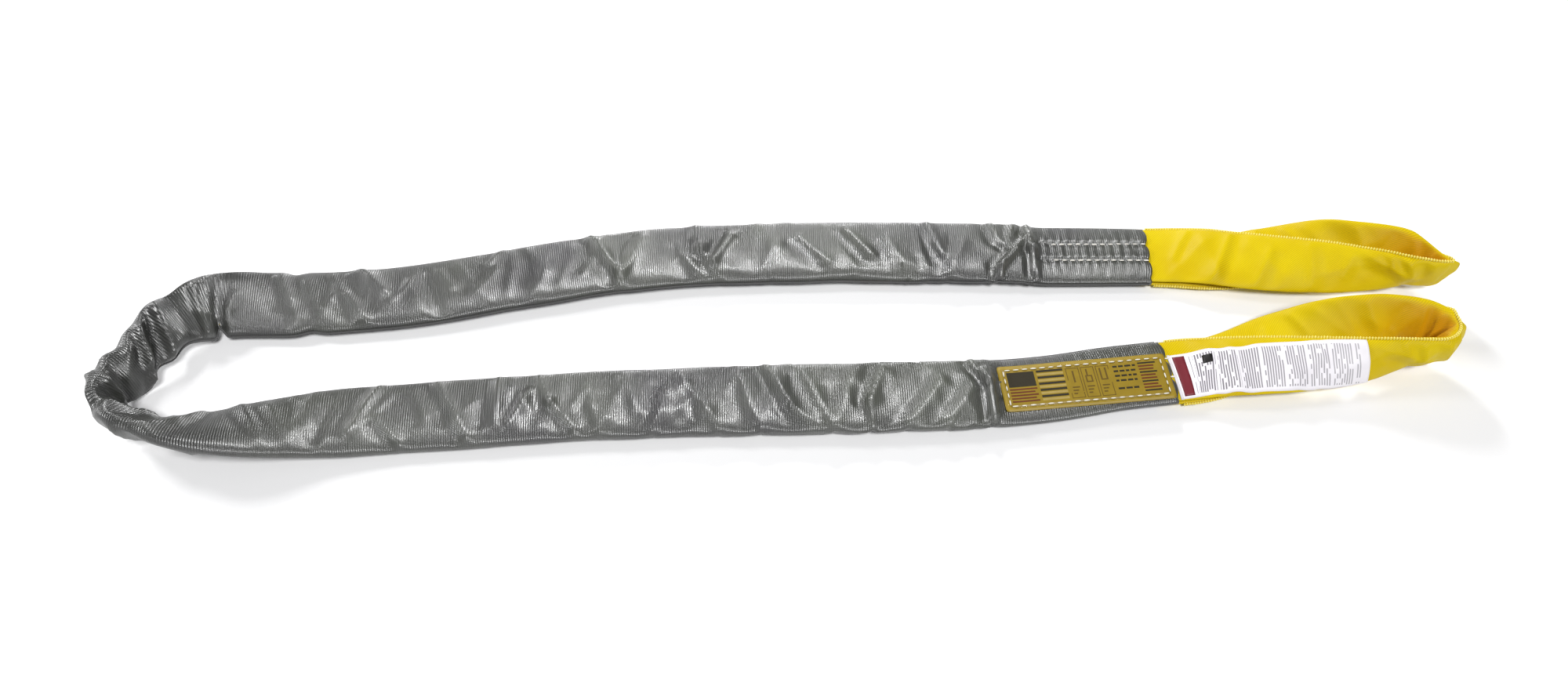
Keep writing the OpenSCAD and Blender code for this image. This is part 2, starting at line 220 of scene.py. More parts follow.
def tube_faces(rings, round_):
    return [(i * round_ + k, (i + 1) * round_ + k, (i + 1) * round_ + (k + 1) % round_,
             i * round_ + (k + 1) % round_) for i in range(rings - 1) for k in range(round_)]


def closed_tube(name, points, finish):
    """A tube with both ends closed, from rings of points."""
    rings, round_ = points.shape[:2]
    faces = tube_faces(rings, round_)
    faces.append(tuple(range(round_ - 1, -1, -1)))
    faces.append(tuple((rings - 1) * round_ + k for k in range(round_)))
    return new_piece(name, points.reshape(-1, 3), faces, finish)


def give_cloth_map(piece, rings, round_, s, around):
    """A UV map in metres, along and round the tube, on the tube's own quads."""
    layer = piece.data.uv_layers.new(name="cloth")
    values = []
    for i in range(rings - 1):
        for k in range(round_):
            j = k + 1
            values += [s[i], around[k], s[i + 1], around[k], s[i + 1], around[j], s[i], around[j]]
    layer.data.foreach_set("uv", np.array(values + [0] * (2 * len(piece.data.loops) - len(values))))


leg_line = drawn_line(leg_route)
leg_length = reach_of(leg_line)[-1]


def squeezed(band, at_upper, at_lower):
    """Thins a leg's band towards its sewn ends and keeps it on the floor."""
    flat = np.maximum(1 - smooth(upper_sewn - 4, upper_sewn + 34, at_upper),
                      1 - smooth(lower_sewn - 4, lower_sewn + 34, at_lower))
    new_t = band.t + flat * (sewn_t - band.t)
    band.centre[:, 2] -= (band.t - new_t) / 2
    band.t = new_t
    return flat


yarn_finish, tree, shader = new_finish("load_yarn", (0.80, 0.77, 0.68), Roughness=0.55,
                                       Sheen_Weight=0.3)
place_in = put(tree, "ShaderNodeTexCoord", {}).outputs["Object"]
strands = put(tree, "ShaderNodeTexNoise", {"Vector": place_in, "Scale": 320, "Detail": 3})
tint = put(tree, "ShaderNodeMix", {"Factor": strands.outputs["Fac"], "A": (0.66, 0.63, 0.54, 1),
                                   "B": (0.90, 0.88, 0.80, 1)}, data_type="RGBA")
tree.links.new(tint.outputs["Result"], shader.inputs["Base Color"])
tree.links.new(put(tree, "ShaderNodeBump", {"Height": strands.outputs["Fac"], "Strength": 0.5,
                                            "Distance": 0.0006}).outputs["Normal"],
               shader.inputs["Normal"])


# Scale of a wave texture whose bands are a metre apart
wave_unit = 0.314


def woven_yellow(name):
    """Yellow polyester cloth: a fine slanting twill that shines along its ridges, with slight
    changes of tone from patch to patch, and painted shade, a deeper orange, inside each eye's end
    bend."""
    finish, tree, shader = new_finish(name, (0.86, 0.66, 0.01), Sheen_Weight=0.0,
                                      Specular_IOR_Level=0.15)
    cloth = put(tree, "ShaderNodeUVMap", {}, uv_map="cloth").outputs["UV"]
    turned = put(tree, "ShaderNodeMapping", {"Vector": cloth, "Rotation": (0, 0, 0.72)})
    counter = put(tree, "ShaderNodeMapping", {"Vector": cloth, "Rotation": (0, 0, -0.85)})
    wave = {"Scale": wave_unit / 0.0021, "Distortion": 0.6, "Detail": 1, "Detail Scale": 2}
    twill = put(tree, "ShaderNodeTexWave", {"Vector": turned.outputs["Vector"], **wave})
    wave["Scale"] = wave_unit / 0.0013
    fine = put(tree, "ShaderNodeTexWave", {"Vector": counter.outputs["Vector"], **wave})
    height = put(tree, "ShaderNodeMath", {0: twill.outputs["Fac"], 1: fine.outputs["Fac"]},
                 operation="ADD")
    body = put(tree, "ShaderNodeTexCoord", {}).outputs["Object"]
    drift = put(tree, "ShaderNodeTexNoise", {"Vector": body, "Scale": 16, "Detail": 3})
    shade = put(tree, "ShaderNodeMix", {"Factor": drift.outputs["Fac"],
                                        "A": (0.60, 0.40, 0.001, 1),
                                        "B": (0.80, 0.64, 0.002, 1)}, data_type="RGBA")
    lift = put(tree, "ShaderNodeMapRange", {"Value": height.outputs["Value"], "From Max": 2,
                                            "To Min": 0.70, "To Max": 1.12})
    # Painted shade: inside each eye's end bend the yellow is drawn towards a deep orange, the shade
    # that falls in the hollow of the bend.
    painted_bend_shade = put(tree, "ShaderNodeAttribute", {}, attribute_name="painted_bend_shade")
    shade = put(tree, "ShaderNodeMix", {"Factor": painted_bend_shade.outputs["Fac"],
                                        "A": shade.outputs["Result"],
                                        "B": (0.62, 0.30, 0.004, 1)}, data_type="RGBA")
    lit = put(tree, "ShaderNodeVectorMath", {0: shade.outputs["Result"],
                                             "Scale": lift.outputs["Result"]},
              operation="SCALE")
    tree.links.new(lit.outputs["Vector"], shader.inputs["Base Color"])
    rough = put(tree, "ShaderNodeMapRange", {"Value": drift.outputs["Fac"], "To Min": 0.36,
                                             "To Max": 0.55})
    tree.links.new(rough.outputs["Result"], shader.inputs["Roughness"])
    bump = put(tree, "ShaderNodeBump", {"Height": height.outputs["Value"], "Strength": 0.35,
                                        "Distance": 0.0003})
    tree.links.new(bump.outputs["Normal"], shader.inputs["Normal"])
    return finish


yellow_finish = woven_yellow("yellow_jacket")

run_inset = 44
run_turns = even_turns(24, 70, 8, 2.6)
for level, where in ((1, "top"), (-1, "bottom")):
    distances = np.linspace(run_inset, leg_length - run_inset, 300)
    for what, less, finish in (("yarn", 2.4, yarn_finish), ("jacket", 0, yellow_finish)):
        band = Band(leg_line, distances)
        squeezed(band, distances, leg_length - distances)
        run_t = band.t * 0.25
        lift = level * (run_t / 2 + 0.25)
        across, out = flattened(run_turns, band.w * 0.6 - less, run_t - less, 2.6)
        points = band.place(across, out + lift[:, None])
        run = closed_tube(f"{what}_run_{where}", points, finish)
        around = np.arange(len(run_turns) + 1) * 0.15 / len(run_turns)
        give_cloth_map(run, *points.shape[:2], distances / 1000, around)
        kind = "core" if what == "yarn" else "jacket"
        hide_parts(f"upper_{kind}_{where}_run", f"lower_{kind}_{where}_run")
        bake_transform(run)


# Splice tape: blue tape wound twice round the joined ends of the yarn, between the
# yarn and its jacket in the lower leg's top run.
tape_finish, tree, shader = new_finish("splice_tape", (0.05, 0.15, 0.42), Roughness=0.35)
body = put(tree, "ShaderNodeTexCoord", {}).outputs["Object"]
wraps = put(tree, "ShaderNodeTexWave", {"Vector": body, "Scale": wave_unit / 0.012,
                                        "Distortion": 0.5})
tree.links.new(put(tree, "ShaderNodeBump", {"Height": wraps.outputs["Fac"], "Strength": 0.4,
                                            "Distance": 0.0004}).outputs["Normal"],
               shader.inputs["Normal"])
tape_from, tape_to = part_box("core_splice_tape")
run_x = Band(leg_line, np.linspace(leg_length / 2, leg_length, 900))
run_row_x = (run_x.centre[:, 0] - middle[0]) / 1000
tape_s = np.interp([tape_from.x, tape_to.x], run_row_x[120:], run_x.s[120:])
band = Band(leg_line, np.linspace(tape_s[0], tape_s[1], 24))
run_t = band.t * 0.25
across, out = flattened(run_turns, band.w * 0.6 - 1.2, run_t - 1.2, 2.6)
points = band.place(across, out + (run_t / 2 + 0.25)[:, None])
tape = closed_tube("splice_wrap", points, tape_finish)
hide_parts("core_splice_tape")
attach(tape, "lower_leg")


# Grey cover: a tube of ribbed satin polyester drawn over both runs. It is looser than
# they are, so it lies in soft slanting creases along the legs and is gathered at the
# fold. Its two ends are flattened and quilted down with rows of thread.
cover_wall = 1.0
cover_round = 80
cover_turns = even_turns(cover_round, 84, 24, 2.7)
row_step = 12
stitch_pitch = 9.5
fine_gap, plain_gap = 1.9, 3.6
upper_mouth, lower_mouth = 7, leg_length - 11
cover_s = np.concatenate([
    np.arange(upper_mouth, upper_sewn + 6, fine_gap),
    np.arange(upper_sewn + 6, lower_mouth - 150, plain_gap),
    lower_mouth - np.arange(0, 150, fine_gap * 1.3)[::-1]])
# Creases on top of each leg: from a place along the leg and across it to another,
# with height and half width. Along is measured from that leg's own cover end.
upper_creases = [
    (650, 1.0, 620, -0.6, 3.4, 8), (590, 0.5, 620, -0.9, 2.8, 9), (530, 0.9, 525, 0.0, 2.8, 9),
    (525, 0.0, 505, -0.8, 2.6, 8), (490, 0.4, 510, -0.5, 2.8, 7), (410, 0.3, 380, -0.5, 2.2, 8),
    (545, -0.2, 520, -1.0, 2.0, 9), (360, 0.6, 330, -0.3, 2.4, 8), (265, 1.0, 250, -0.2, 2.6, 7),
    (190, 1.0, 180, 0.2, 2.4, 7), (160, 1.0, 172, 0.0, 2.8, 6), (148, 0.4, 182, -0.7, 3.6, 7),
    (182, -0.6, 182, -1.0, 3.0, 6), (146, 1.0, 142, 0.0, 3.6, 6), (142, 0.0, 138, -1.0, 3.6, 5),
    (915, 0.9, 885, 0.0, 3.4, 12), (925, 0.0, 900, -1.0, 2.6, 9), (840, 0.4, 825, -1.0, -2.6, 10),
    (1005, 0.7, 990, 0.0, 1.6, 10), (750, 0.9, 765, 0.5, 2.0, 6), (700, 0.2, 720, -0.9, 1.4, 12),
    (460, 0.9, 440, 0.0, 1.5, 12), (310, 0.2, 290, -0.8, 1.6, 9), (225, 0.1, 240, -0.9, 1.5, 9)]
lower_creases = [
    (862, 0.8, 888, -0.5, 3.2, 10), (800, 0.8, 765, -0.8, 2.8, 7), (735, 0.9, 735, -0.5, 2.6, 8),
    (700, 0.4, 722, -0.6, 2.6, 7), (692, 0.8, 680, 0.0, 2.8, 7), (680, 0.0, 652, -0.8, 2.6, 7),
    (635, -0.2, 625, -0.9, 2.0, 9), (555, 0.2, 570, -1.0, 2.4, 9), (860, -0.2, 835, -0.9, 2.2, 6),
    (540, 0.6, 500, -0.9, 2.2, 10), (480, 0.8, 455, -1.0, 2.2, 10), (450, 0.9, 425, -0.3, 3.4, 7),
    (425, -0.3, 390, -1.0, 2.2, 9), (410, 0.7, 380, -0.9, 2.2, 9), (325, 0.7, 340, -0.3, 3.2, 8),
    (340, -0.3, 340, -0.9, 2.4, 7), (265, 0.2, 300, -0.9, 2.2, 9), (232, 0.0, 262, -1.0, 2.2, 9),
    (226, 0.9, 214, 0.2, 2.8, 6), (211, 0.6, 212, -0.9, 3.6, 6), (905, 0.5, 925, -0.6, -2.0, 10),
    (600, 0.7, 585, -0.4, 1.6, 10), (505, 0.3, 520, -0.8, 1.5, 9), (360, 0.4, 375, -0.8, 1.5, 9)]
# Gathers at the fold, along the whole cover; the last number says which face
fold_creases = [
    (1062, 0.9, 1074, -1.0, -4.4, 8, 1), (1086, 0.7, 1096, -0.9, 3.6, 6, 1),
    (1108, 1.0, 1112, -0.6, -3.4, 9, 1), (1124, 0.9, 1150, -1.0, 4.2, 6, 1),
    (1140, 0.6, 1170, -0.6, -3.0, 8, 1), (1152, 0.8, 1180, -1.0, 4.0, 6, 1),
    (1168, 0.9, 1196, 0.0, 2.2, 12, 1), (1206, 1.0, 1216, -1.0, -4.4, 7, 1),
    (1222, 1.0, 1236, -0.4, 3.6, 5, 1), (1246, 0.8, 1262, -0.9, -3.0, 6, 1),
    (1262, 0.9, 1290, -0.6, 2.6, 7, 1), (1310, 0.8, 1345, -0.8, 1.8, 9, 1),
    (1185, 0.8, 1215, -0.8, -3.0, 7, -1), (1222, 0.9, 1206, -0.9, 3.0, 7, -1),
    (1246, 0.7, 1262, -0.9, -2.8, 7, -1), (1280, 0.9, 1300, -0.9, 2.6, 9, -1),
    (1350, 0.7, 1330, -0.9, 2.0, 10, -1), (1120, 0.9, 1140, -0.9, 2.6, 9, -1)]
# Places where an edge is drawn in at the fold: distance, amount, half length, edge
fold_nicks = [
    (1074, 12, 7, -1), (1128, 9, 26, -1), (1166, 11, 12, -1), (1150, 6, 16, 1), (1180, 9, 18, 1),
    (1108, 5, 14, 1), (1208, 6, 9, 1), (1222, 8, 9, -1), (1252, 7, 8, 1),
    (1272, 6, 14, -1), (1312, 10, 30, -1), (1300, 4, 14, 1), (965, 4, 12, -1), (990, 3, 9, 1)]


def crease_height(s, v, half_w, creases):
    """Height of the cloth over all creases: a ridge with a shallow dip beside it."""
    total = np.zeros(np.broadcast(s, v).shape)
    for s0, v0, s1, v1, height, half in creases:
        a, b = np.array([s0, v0 * half_w]), np.array([s1, v1 * half_w])
        way, length = (b - a) / np.linalg.norm(b - a), np.linalg.norm(b - a)
        ds, dv = s - a[0], v * half_w - a[1]
        run = ds * way[0] + dv * way[1]
        beyond = np.maximum(0, np.maximum(-run, run - length))
        aside = dv * way[0] - ds * way[1]
        fade = np.exp(-(beyond / (0.9 * half)) ** 2)
        ridge = np.exp(0.3 - 1.5 * np.sqrt((aside / half) ** 2 + 0.04))
        total += 1.8 * height * fade * (ridge - 0.5 * np.exp(-((aside - 1.7 * half) / half) ** 2))
    return total


def cloth_drift(s, v, size, seed):
    """Slow, even unevenness of slack cloth, from about -1 to 1."""
    flat = np.broadcast_arrays(s, v)
    spots = np.stack([flat[0].ravel() / size, flat[1].ravel() * 0.9], 1)
    return np.array([noise.noise((a, b, seed)) for a, b in spots]).reshape(flat[0].shape)


band = Band(leg_line, cover_s)
at_lower = leg_length - cover_s
flat = squeezed(band, cover_s, at_lower)[:, None]
across, out = flattened(cover_turns, band.w, band.t, 2.7)
share = across / (band.w / 2)[:, None]
top = smooth(0.05, 0.7, np.sin(cover_turns))[None]
under = smooth(0.05, 0.7, -np.sin(cover_turns))[None]
rng = random.Random(7)
small_creases = []
for number in range(34):
    start = 190 + 1010 * (number + rng.random()) / 34
    lean = rng.choice((-1, 1)) * rng.uniform(12, 34)
    ends = (rng.uniform(0.1, 0.9), rng.uniform(-0.9, -0.1))
    small_creases.append((start, ends[0], start + lean, ends[1], rng.uniform(0.6, 1.3),
                          rng.uniform(5, 9)))
s = cover_s[:, None]
s_lower = at_lower[:, None]
on_top = (crease_height(s, share, 42, upper_creases)
          + crease_height(s, share, 42, small_creases)
          + crease_height(s_lower, -share, 42, lower_creases)
          + crease_height(s_lower, -share * 0.9, 42, small_creases)
          + crease_height(s, share, 36, [c[:6] for c in fold_creases if c[6] > 0]))
beneath = crease_height(s, share, 36, [c[:6] for c in fold_creases if c[6] < 0])
loose = 1 - 0.92 * smooth(0.55, 1, flat)
drift = cloth_drift(s, share, 48, 3.7)
lie = smooth(0, 60, np.abs(s - leg_length / 2) - 120)
height = (top * (on_top * loose + 0.9 * drift * loose)
          + under * (beneath + 0.5 * drift * (1 - lie)))
# Quilting at both ends: a groove along each row, and short puckers across it
rows = np.exp(-((np.abs(across) - row_step) / 2.6) ** 2)
near_row = np.exp(-((np.abs(across) - row_step) / 8.5) ** 2)
pucker = (0.5 + 0.5 * np.sin(2 * math.pi * s / stitch_pitch + 1.5 * cloth_drift(s, share, 21, 9.1))
          ) ** 2
quilt = smooth(0.55, 1, flat) * (top + under)
height += quilt * (-1.9 * rows * (top + 0.5 * under) + 1.9 * near_row * (1 - rows) * pucker * top
                   + 0.9 * cloth_drift(s, share * 2, 6, 5.5) * top)
height = np.maximum(height, -3.8)
outward = np.stack([across / (band.w / 2)[:, None] ** 2, out / (band.t / 2)[:, None] ** 2], -1)
outward /= np.linalg.norm(outward, axis=-1)[..., None]
edge_drift = cloth_drift(s, np.sign(share) * 0.7, 60, 12.3) * 1.6 * loose
for at, amount, half, side in fold_nicks:
    edge_drift = edge_drift - (amount * np.exp(-((s - at) / half) ** 2)
                               * smooth(0.0, 1.0, side * share))
points = band.place(across + outward[..., 0] * height * 0.35 + share * edge_drift,
                    out + outward[..., 1] * height)
# The mouths bulge forward between the rows of thread
bulge = np.abs(np.cos(math.pi * across / (2 * row_step))) * -1
for sign, at in ((-1, s - upper_mouth), (1, lower_mouth - s)):
    shift = sign * (1 - smooth(0, 12, at)) * 2.6 * bulge
    points += (shift[..., None] * band.along[:, None]) * -0.001
points[..., 2] = np.maximum(points[..., 2], 0.0002)

cover_finish, tree, shader = new_finish(
    "grey_cover", (0.2, 0.2, 0.2), Sheen_Weight=0.02, Sheen_Roughness=0.3,
    Specular_IOR_Level=1.0, IOR=1.62)
cloth = put(tree, "ShaderNodeUVMap", {}, uv_map="cloth").outputs["UV"]
ribs = put(tree, "ShaderNodeTexWave", {"Vector": cloth, "Scale": wave_unit / 0.0024,
                                       "Distortion": 0.9, "Detail": 2, "Detail Scale": 3})
fine = put(tree, "ShaderNodeTexWave", {"Vector": cloth, "Scale": wave_unit / 0.0012,
                                       "Distortion": 0.4}, bands_direction="Y")
slubs = put(tree, "ShaderNodeTexNoise", {"Vector": cloth, "Scale": 420, "Detail": 2})
body = put(tree, "ShaderNodeTexCoord", {}).outputs["Object"]
patches = put(tree, "ShaderNodeTexNoise", {"Vector": body, "Scale": 9, "Detail": 3})
weave = put(tree, "ShaderNodeMath", {0: ribs.outputs["Fac"], 1: fine.outputs["Fac"]},
            operation="ADD")
weave = put(tree, "ShaderNodeMath", {0: weave.outputs["Value"], 1: slubs.outputs["Fac"]},
            operation="ADD")
tones = put(tree, "ShaderNodeValToRGB", {"Fac": patches.outputs["Fac"]})
tones.color_ramp.elements[0].position = 0.3
tones.color_ramp.elements[0].color = (0.028, 0.027, 0.029, 1)
tones.color_ramp.elements[1].position = 0.7
tones.color_ramp.elements[1].color = (0.072, 0.077, 0.062, 1)
lift = put(tree, "ShaderNodeMapRange", {"Value": weave.outputs["Value"], "From Min": 0.4,
                                        "From Max": 2.4, "To Min": 0.58, "To Max": 1.36})
# Painted highlight: the cover's colour is made lighter on the crease crests, where light catches
# them.
crest_value = put(tree, "ShaderNodeAttribute", {}, attribute_name="crest")
crest_highlight = put(tree, "ShaderNodeMapRange", {"Value": crest_value.outputs["Fac"], "To Min": 0.9,
                                        "To Max": 1.3})
lift = put(tree, "ShaderNodeMath", {0: lift.outputs["Result"], 1: crest_highlight.outputs["Result"]},
           operation="MULTIPLY")
# Painted shade: the cover's colour is darkened round the fold, where it lies in shade, by the point
# value made below.
painted_fold_shade = put(tree, "ShaderNodeAttribute", {}, attribute_name="painted_fold_shade")
fold_shade_dimming = put(tree, "ShaderNodeMapRange", {"Value": painted_fold_shade.outputs["Fac"], "To Min": 1.0,
                                        "To Max": 0.35})
lift = put(tree, "ShaderNodeMath", {0: lift.outputs["Value"], 1: fold_shade_dimming.outputs["Result"]},
           operation="MULTIPLY")
lit = put(tree, "ShaderNodeVectorMath", {0: tones.outputs["Color"], "Scale": lift.outputs[0]},
          operation="SCALE")
tree.links.new(lit.outputs["Vector"], shader.inputs["Base Color"])
rough = put(tree, "ShaderNodeMapRange", {"Value": patches.outputs["Fac"], "To Min": 0.24,
                                         "To Max": 0.35})
tree.links.new(rough.outputs["Result"], shader.inputs["Roughness"])
bump = put(tree, "ShaderNodeBump", {"Height": weave.outputs["Value"], "Strength": 0.5,
                                    "Distance": 0.0004})
tree.links.new(bump.outputs["Normal"], shader.inputs["Normal"])

rings = len(cover_s)
cover = new_piece("cover", points.reshape(-1, 3), tube_faces(rings, cover_round), cover_finish)
around = np.arange(cover_round + 1) * 0.2 / cover_round
give_cloth_map(cover, rings, cover_round, cover_s / 1000, around)
# Painted highlight: the crease height, kept as the point value crest, lightens the cover's colour
# on the crests.
crest = cover.data.attributes.new("crest", "FLOAT", "POINT")
crest.data.foreach_set("value", np.clip(height.ravel() / 3, 0, 1).astype(np.float32))
# Painted shade round the fold: a point value, highest at the fold and fading along both legs, that
# darkens the cover's colour there.
painted_fold_shade = np.broadcast_to(np.exp(-((s - 1235) / 260) ** 2), height.shape)
cover.data.attributes.new("painted_fold_shade", "FLOAT", "POINT").data.foreach_set(
    "value", painted_fold_shade.ravel().astype(np.float32))


def finished(piece):
    """Turns a piece with modifiers into a plain mesh."""
    bpy.context.view_layer.update()
    mesh = bpy.data.meshes.new_from_object(
        piece.evaluated_get(bpy.context.evaluated_depsgraph_get()))
    piece.modifiers.clear()
    piece.data = mesh
    return piece


def give_wall(piece, wall):
    """Cloth of a given thickness, built inwards, in metres."""
    solid = piece.modifiers.new("wall", "SOLIDIFY")
    solid.thickness = wall / 1000
    solid.offset = -1
    return finished(piece)


def slackened(piece, points, hold, frames, most):
    """Lets the cloth grow slightly and buckle under light pressure, from the held shape.
    Hold is 0 where it is free and 1 where it is sewn; most is in millimetres."""
    held = piece.vertex_groups.new(name="held")
    levels = np.round(np.broadcast_to(hold, points.shape[:2]).ravel() * 20) / 20
    for level in np.unique(levels):
        held.add([int(i) for i in np.flatnonzero(levels == level)], float(level), "REPLACE")
    cloth = piece.modifiers.new("slack", "CLOTH")
    cloth.point_cache.frame_end = frames
    settings = cloth.settings
    settings.quality = 5
    settings.mass = 0.12
    settings.tension_stiffness = settings.compression_stiffness = 12
    settings.shear_stiffness = 6
    settings.bending_stiffness = 0.4
    settings.use_pressure = True
    settings.uniform_pressure_force = 1.5
    settings.shrink_min = -0.035
    settings.pin_stiffness = 1.0
    settings.vertex_group_mass = "held"
    settings.effector_weights.gravity = 0
    for number in range(1, frames + 1):
        bpy.context.scene.frame_set(number)
    shaped = piece.evaluated_get(bpy.context.evaluated_depsgraph_get()).data
    moved = np.empty(points.size)
    shaped.vertices.foreach_get("co", moved)
    moved = moved.reshape(points.shape) - points
    piece.modifiers.clear()
    piece.vertex_groups.clear()
    bpy.context.scene.frame_set(1)
    far = np.linalg.norm(moved, axis=-1)[..., None] * 1000
    moved *= np.minimum(1, most / np.maximum(far, 1e-6))
    settled = points + moved
    settled[..., 2] = np.maximum(settled[..., 2], 0.0002)
    piece.data.vertices.foreach_set("co", settled.ravel())
    piece.data.update()
    return settled


points = slackened(cover, points, 0.06 + 0.94 * smooth(0.3, 0.9, flat), 10, 2.4)
cover_points = points
give_wall(cover, cover_wall)
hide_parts("upper_cover", "lower_cover")
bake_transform(cover)


# Cover overlock: the tube is closed along its inner edge, where darker thread is
# looped over the two raw edges every few millimetres.
def stitch_tree():
    """Puts one short thread on each point, lying along it and flattened on the cloth."""
    tree = bpy.data.node_groups.new("thread_on_points", "GeometryNodeTree")
    tree.interface.new_socket("Geometry", in_out="INPUT", socket_type="NodeSocketGeometry")
    for label, value in (("Length", 0.006), ("Width", 0.0012), ("Height", 0.0012)):
        socket = tree.interface.new_socket(label, in_out="INPUT", socket_type="NodeSocketFloat")
        socket.default_value = value
    tree.interface.new_socket("Thread", in_out="INPUT", socket_type="NodeSocketMaterial")
    tree.interface.new_socket("Geometry", in_out="OUTPUT", socket_type="NodeSocketGeometry")
    given = tree.nodes.new("NodeGroupInput").outputs
    seed = put(tree, "GeometryNodeMeshUVSphere", {"Segments": 8, "Rings": 5, "Radius": 0.5})
    size = put(tree, "ShaderNodeCombineXYZ", {"X": given["Length"], "Y": given["Width"],
                                              "Z": given["Height"]})
    thread = put(tree, "GeometryNodeTransform", {"Geometry": seed.outputs["Mesh"],
                                                 "Scale": size.outputs["Vector"]})
    along = put(tree, "GeometryNodeInputNamedAttribute", {"Name": "along"},
                data_type="FLOAT_VECTOR")
    aside = put(tree, "GeometryNodeInputNamedAttribute", {"Name": "aside"},
                data_type="FLOAT_VECTOR")
    turn = put(tree, "FunctionNodeAxesToRotation",
               {"Primary Axis": along.outputs["Attribute"],
                "Secondary Axis": aside.outputs["Attribute"]},
               primary_axis="X", secondary_axis="Y")
    uneven = put(tree, "FunctionNodeRandomValue", {2: 0.88, 3: 1.12, "Seed": 4},
                 data_type="FLOAT")
    laid = put(tree, "GeometryNodeInstanceOnPoints",
               {"Points": given["Geometry"], "Instance": thread.outputs["Geometry"],
                "Rotation": turn.outputs["Rotation"], "Scale": uneven.outputs[1]})
    real = put(tree, "GeometryNodeRealizeInstances", {"Geometry": laid.outputs["Instances"]})
    even = put(tree, "GeometryNodeSetShadeSmooth", {"Geometry": real.outputs["Geometry"]})
    done = put(tree, "GeometryNodeSetMaterial", {"Geometry": even.outputs["Geometry"],
                                                 "Material": given["Thread"]})
    result = tree.nodes.new("NodeGroupOutput")
    tree.links.new(done.outputs["Geometry"], result.inputs["Geometry"])
    return tree


threads = stitch_tree()


def sewn(name, places, along, aside, size, finish):
    """A piece of repeated threads of one size: length, width and height in millimetres."""
    piece = new_piece(name, places, [], finish)
    for label, values in (("along", along), ("aside", aside)):
        layer = piece.data.attributes.new(label, "FLOAT_VECTOR", "POINT")
        layer.data.foreach_set("vector", np.asarray(values, np.float32).ravel())
    nodes = piece.modifiers.new("threads", "NODES")
    nodes.node_group = threads
    sockets = {i.name: i.identifier for i in threads.interface.items_tree
               if i.in_out == "INPUT"}
    for label, value in zip(("Length", "Width", "Height"), size):
        nodes[sockets[label]] = value / 1000
    nodes[sockets["Thread"]] = finish
    return finished(piece)


def thread_finish(name, dark, light):
    """Twisted polyester thread, with a fine slant and slight changes of shade."""
    finish, tree, shader = new_finish(name, light, Roughness=0.5, Sheen_Weight=0.2)
    body = put(tree, "ShaderNodeTexCoord", {}).outputs["Object"]
    twist = put(tree, "ShaderNodeTexWave", {"Vector": body, "Scale": wave_unit / 0.0009,
                                            "Distortion": 1.2}, bands_direction="DIAGONAL")
    tint = put(tree, "ShaderNodeMix", {"Factor": twist.outputs["Fac"], "A": (*dark, 1),
                                       "B": (*light, 1)}, data_type="RGBA")
    tree.links.new(tint.outputs["Result"], shader.inputs["Base Color"])
    bump = put(tree, "ShaderNodeBump", {"Height": twist.outputs["Fac"], "Strength": 0.4,
                                        "Distance": 0.0002})
    tree.links.new(bump.outputs["Normal"], shader.inputs["Normal"])
    return finish


def unit_rows(rows):
    return rows / np.maximum(np.linalg.norm(rows, axis=-1), 1e-9)[..., None]


def overlocked(name, edge, outward, pitch, bead, tooth, finish, bead_finish):
    """A bead along an edge and the loops of thread over it. Sizes are in millimetres."""
    reach = np.r_[0, np.cumsum(np.linalg.norm(np.diff(edge, axis=0), axis=1))] * 1000
    count = int(reach[-1] / pitch)
    where = (np.arange(count) + 0.5) * reach[-1] / count
    place = np.stack([np.interp(where, reach, edge[:, i]) for i in range(3)], 1)
    along = unit_rows(np.gradient(place, axis=0))
    way = np.stack([np.interp(where, reach, outward[:, i]) for i in range(3)], 1)
    way = unit_rows(way - (way * along).sum(1)[:, None] * along)
    face = np.cross(along, way)
    turns = np.arange(8) * math.pi / 4
    rings = (place[:, None] + way[:, None] * (bead[0] / 2000 * np.cos(turns)[None, :, None])
             + face[:, None] * (bead[1] / 2000 * np.sin(turns)[None, :, None]))
    rope = closed_tube(name + "_bead", rings[:, ::-1], bead_finish)
    slant = unit_rows(way + 0.25 * along)
    loops = sewn(name + "_loops", place + way * 0.0001, slant, along, tooth, finish)
    return [rope, loops]


dark_thread = thread_finish("cover_overlock", (0.035, 0.035, 0.035), (0.10, 0.10, 0.10))
edge_k = cover_round // 2
edge = cover_points[:, edge_k]
edge_line = overlocked("cover_overlock", edge[1:-1] + 0.0007 * -band.across[1:-1],
                       -band.across[1:-1], 2.4, (3.0, 1.7), (3.4, 1.1, 2.3), dark_thread,
                       dark_thread)
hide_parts("upper_cover_seam", "lower_cover_seam")
for piece in edge_line:
    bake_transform(piece)


# Closing stitches: two rows of pale thread quilt the runs together at each end of the
# cover. Twelve stitches show in a row, each sunk into its groove.
cover_surface = BVHTree.FromPolygons([tuple(p) for p in cover_points.reshape(-1, 3)],
                                     tube_faces(rings, cover_round))


def cloth_top(x, y):
    """Height of the cover over a place on the floor, in metres."""
    hit = cover_surface.ray_cast(Vector((x, y, 0.2)), Vector((0, 0, -1)))[0]
    return hit.z if hit else sewn_t / 1000


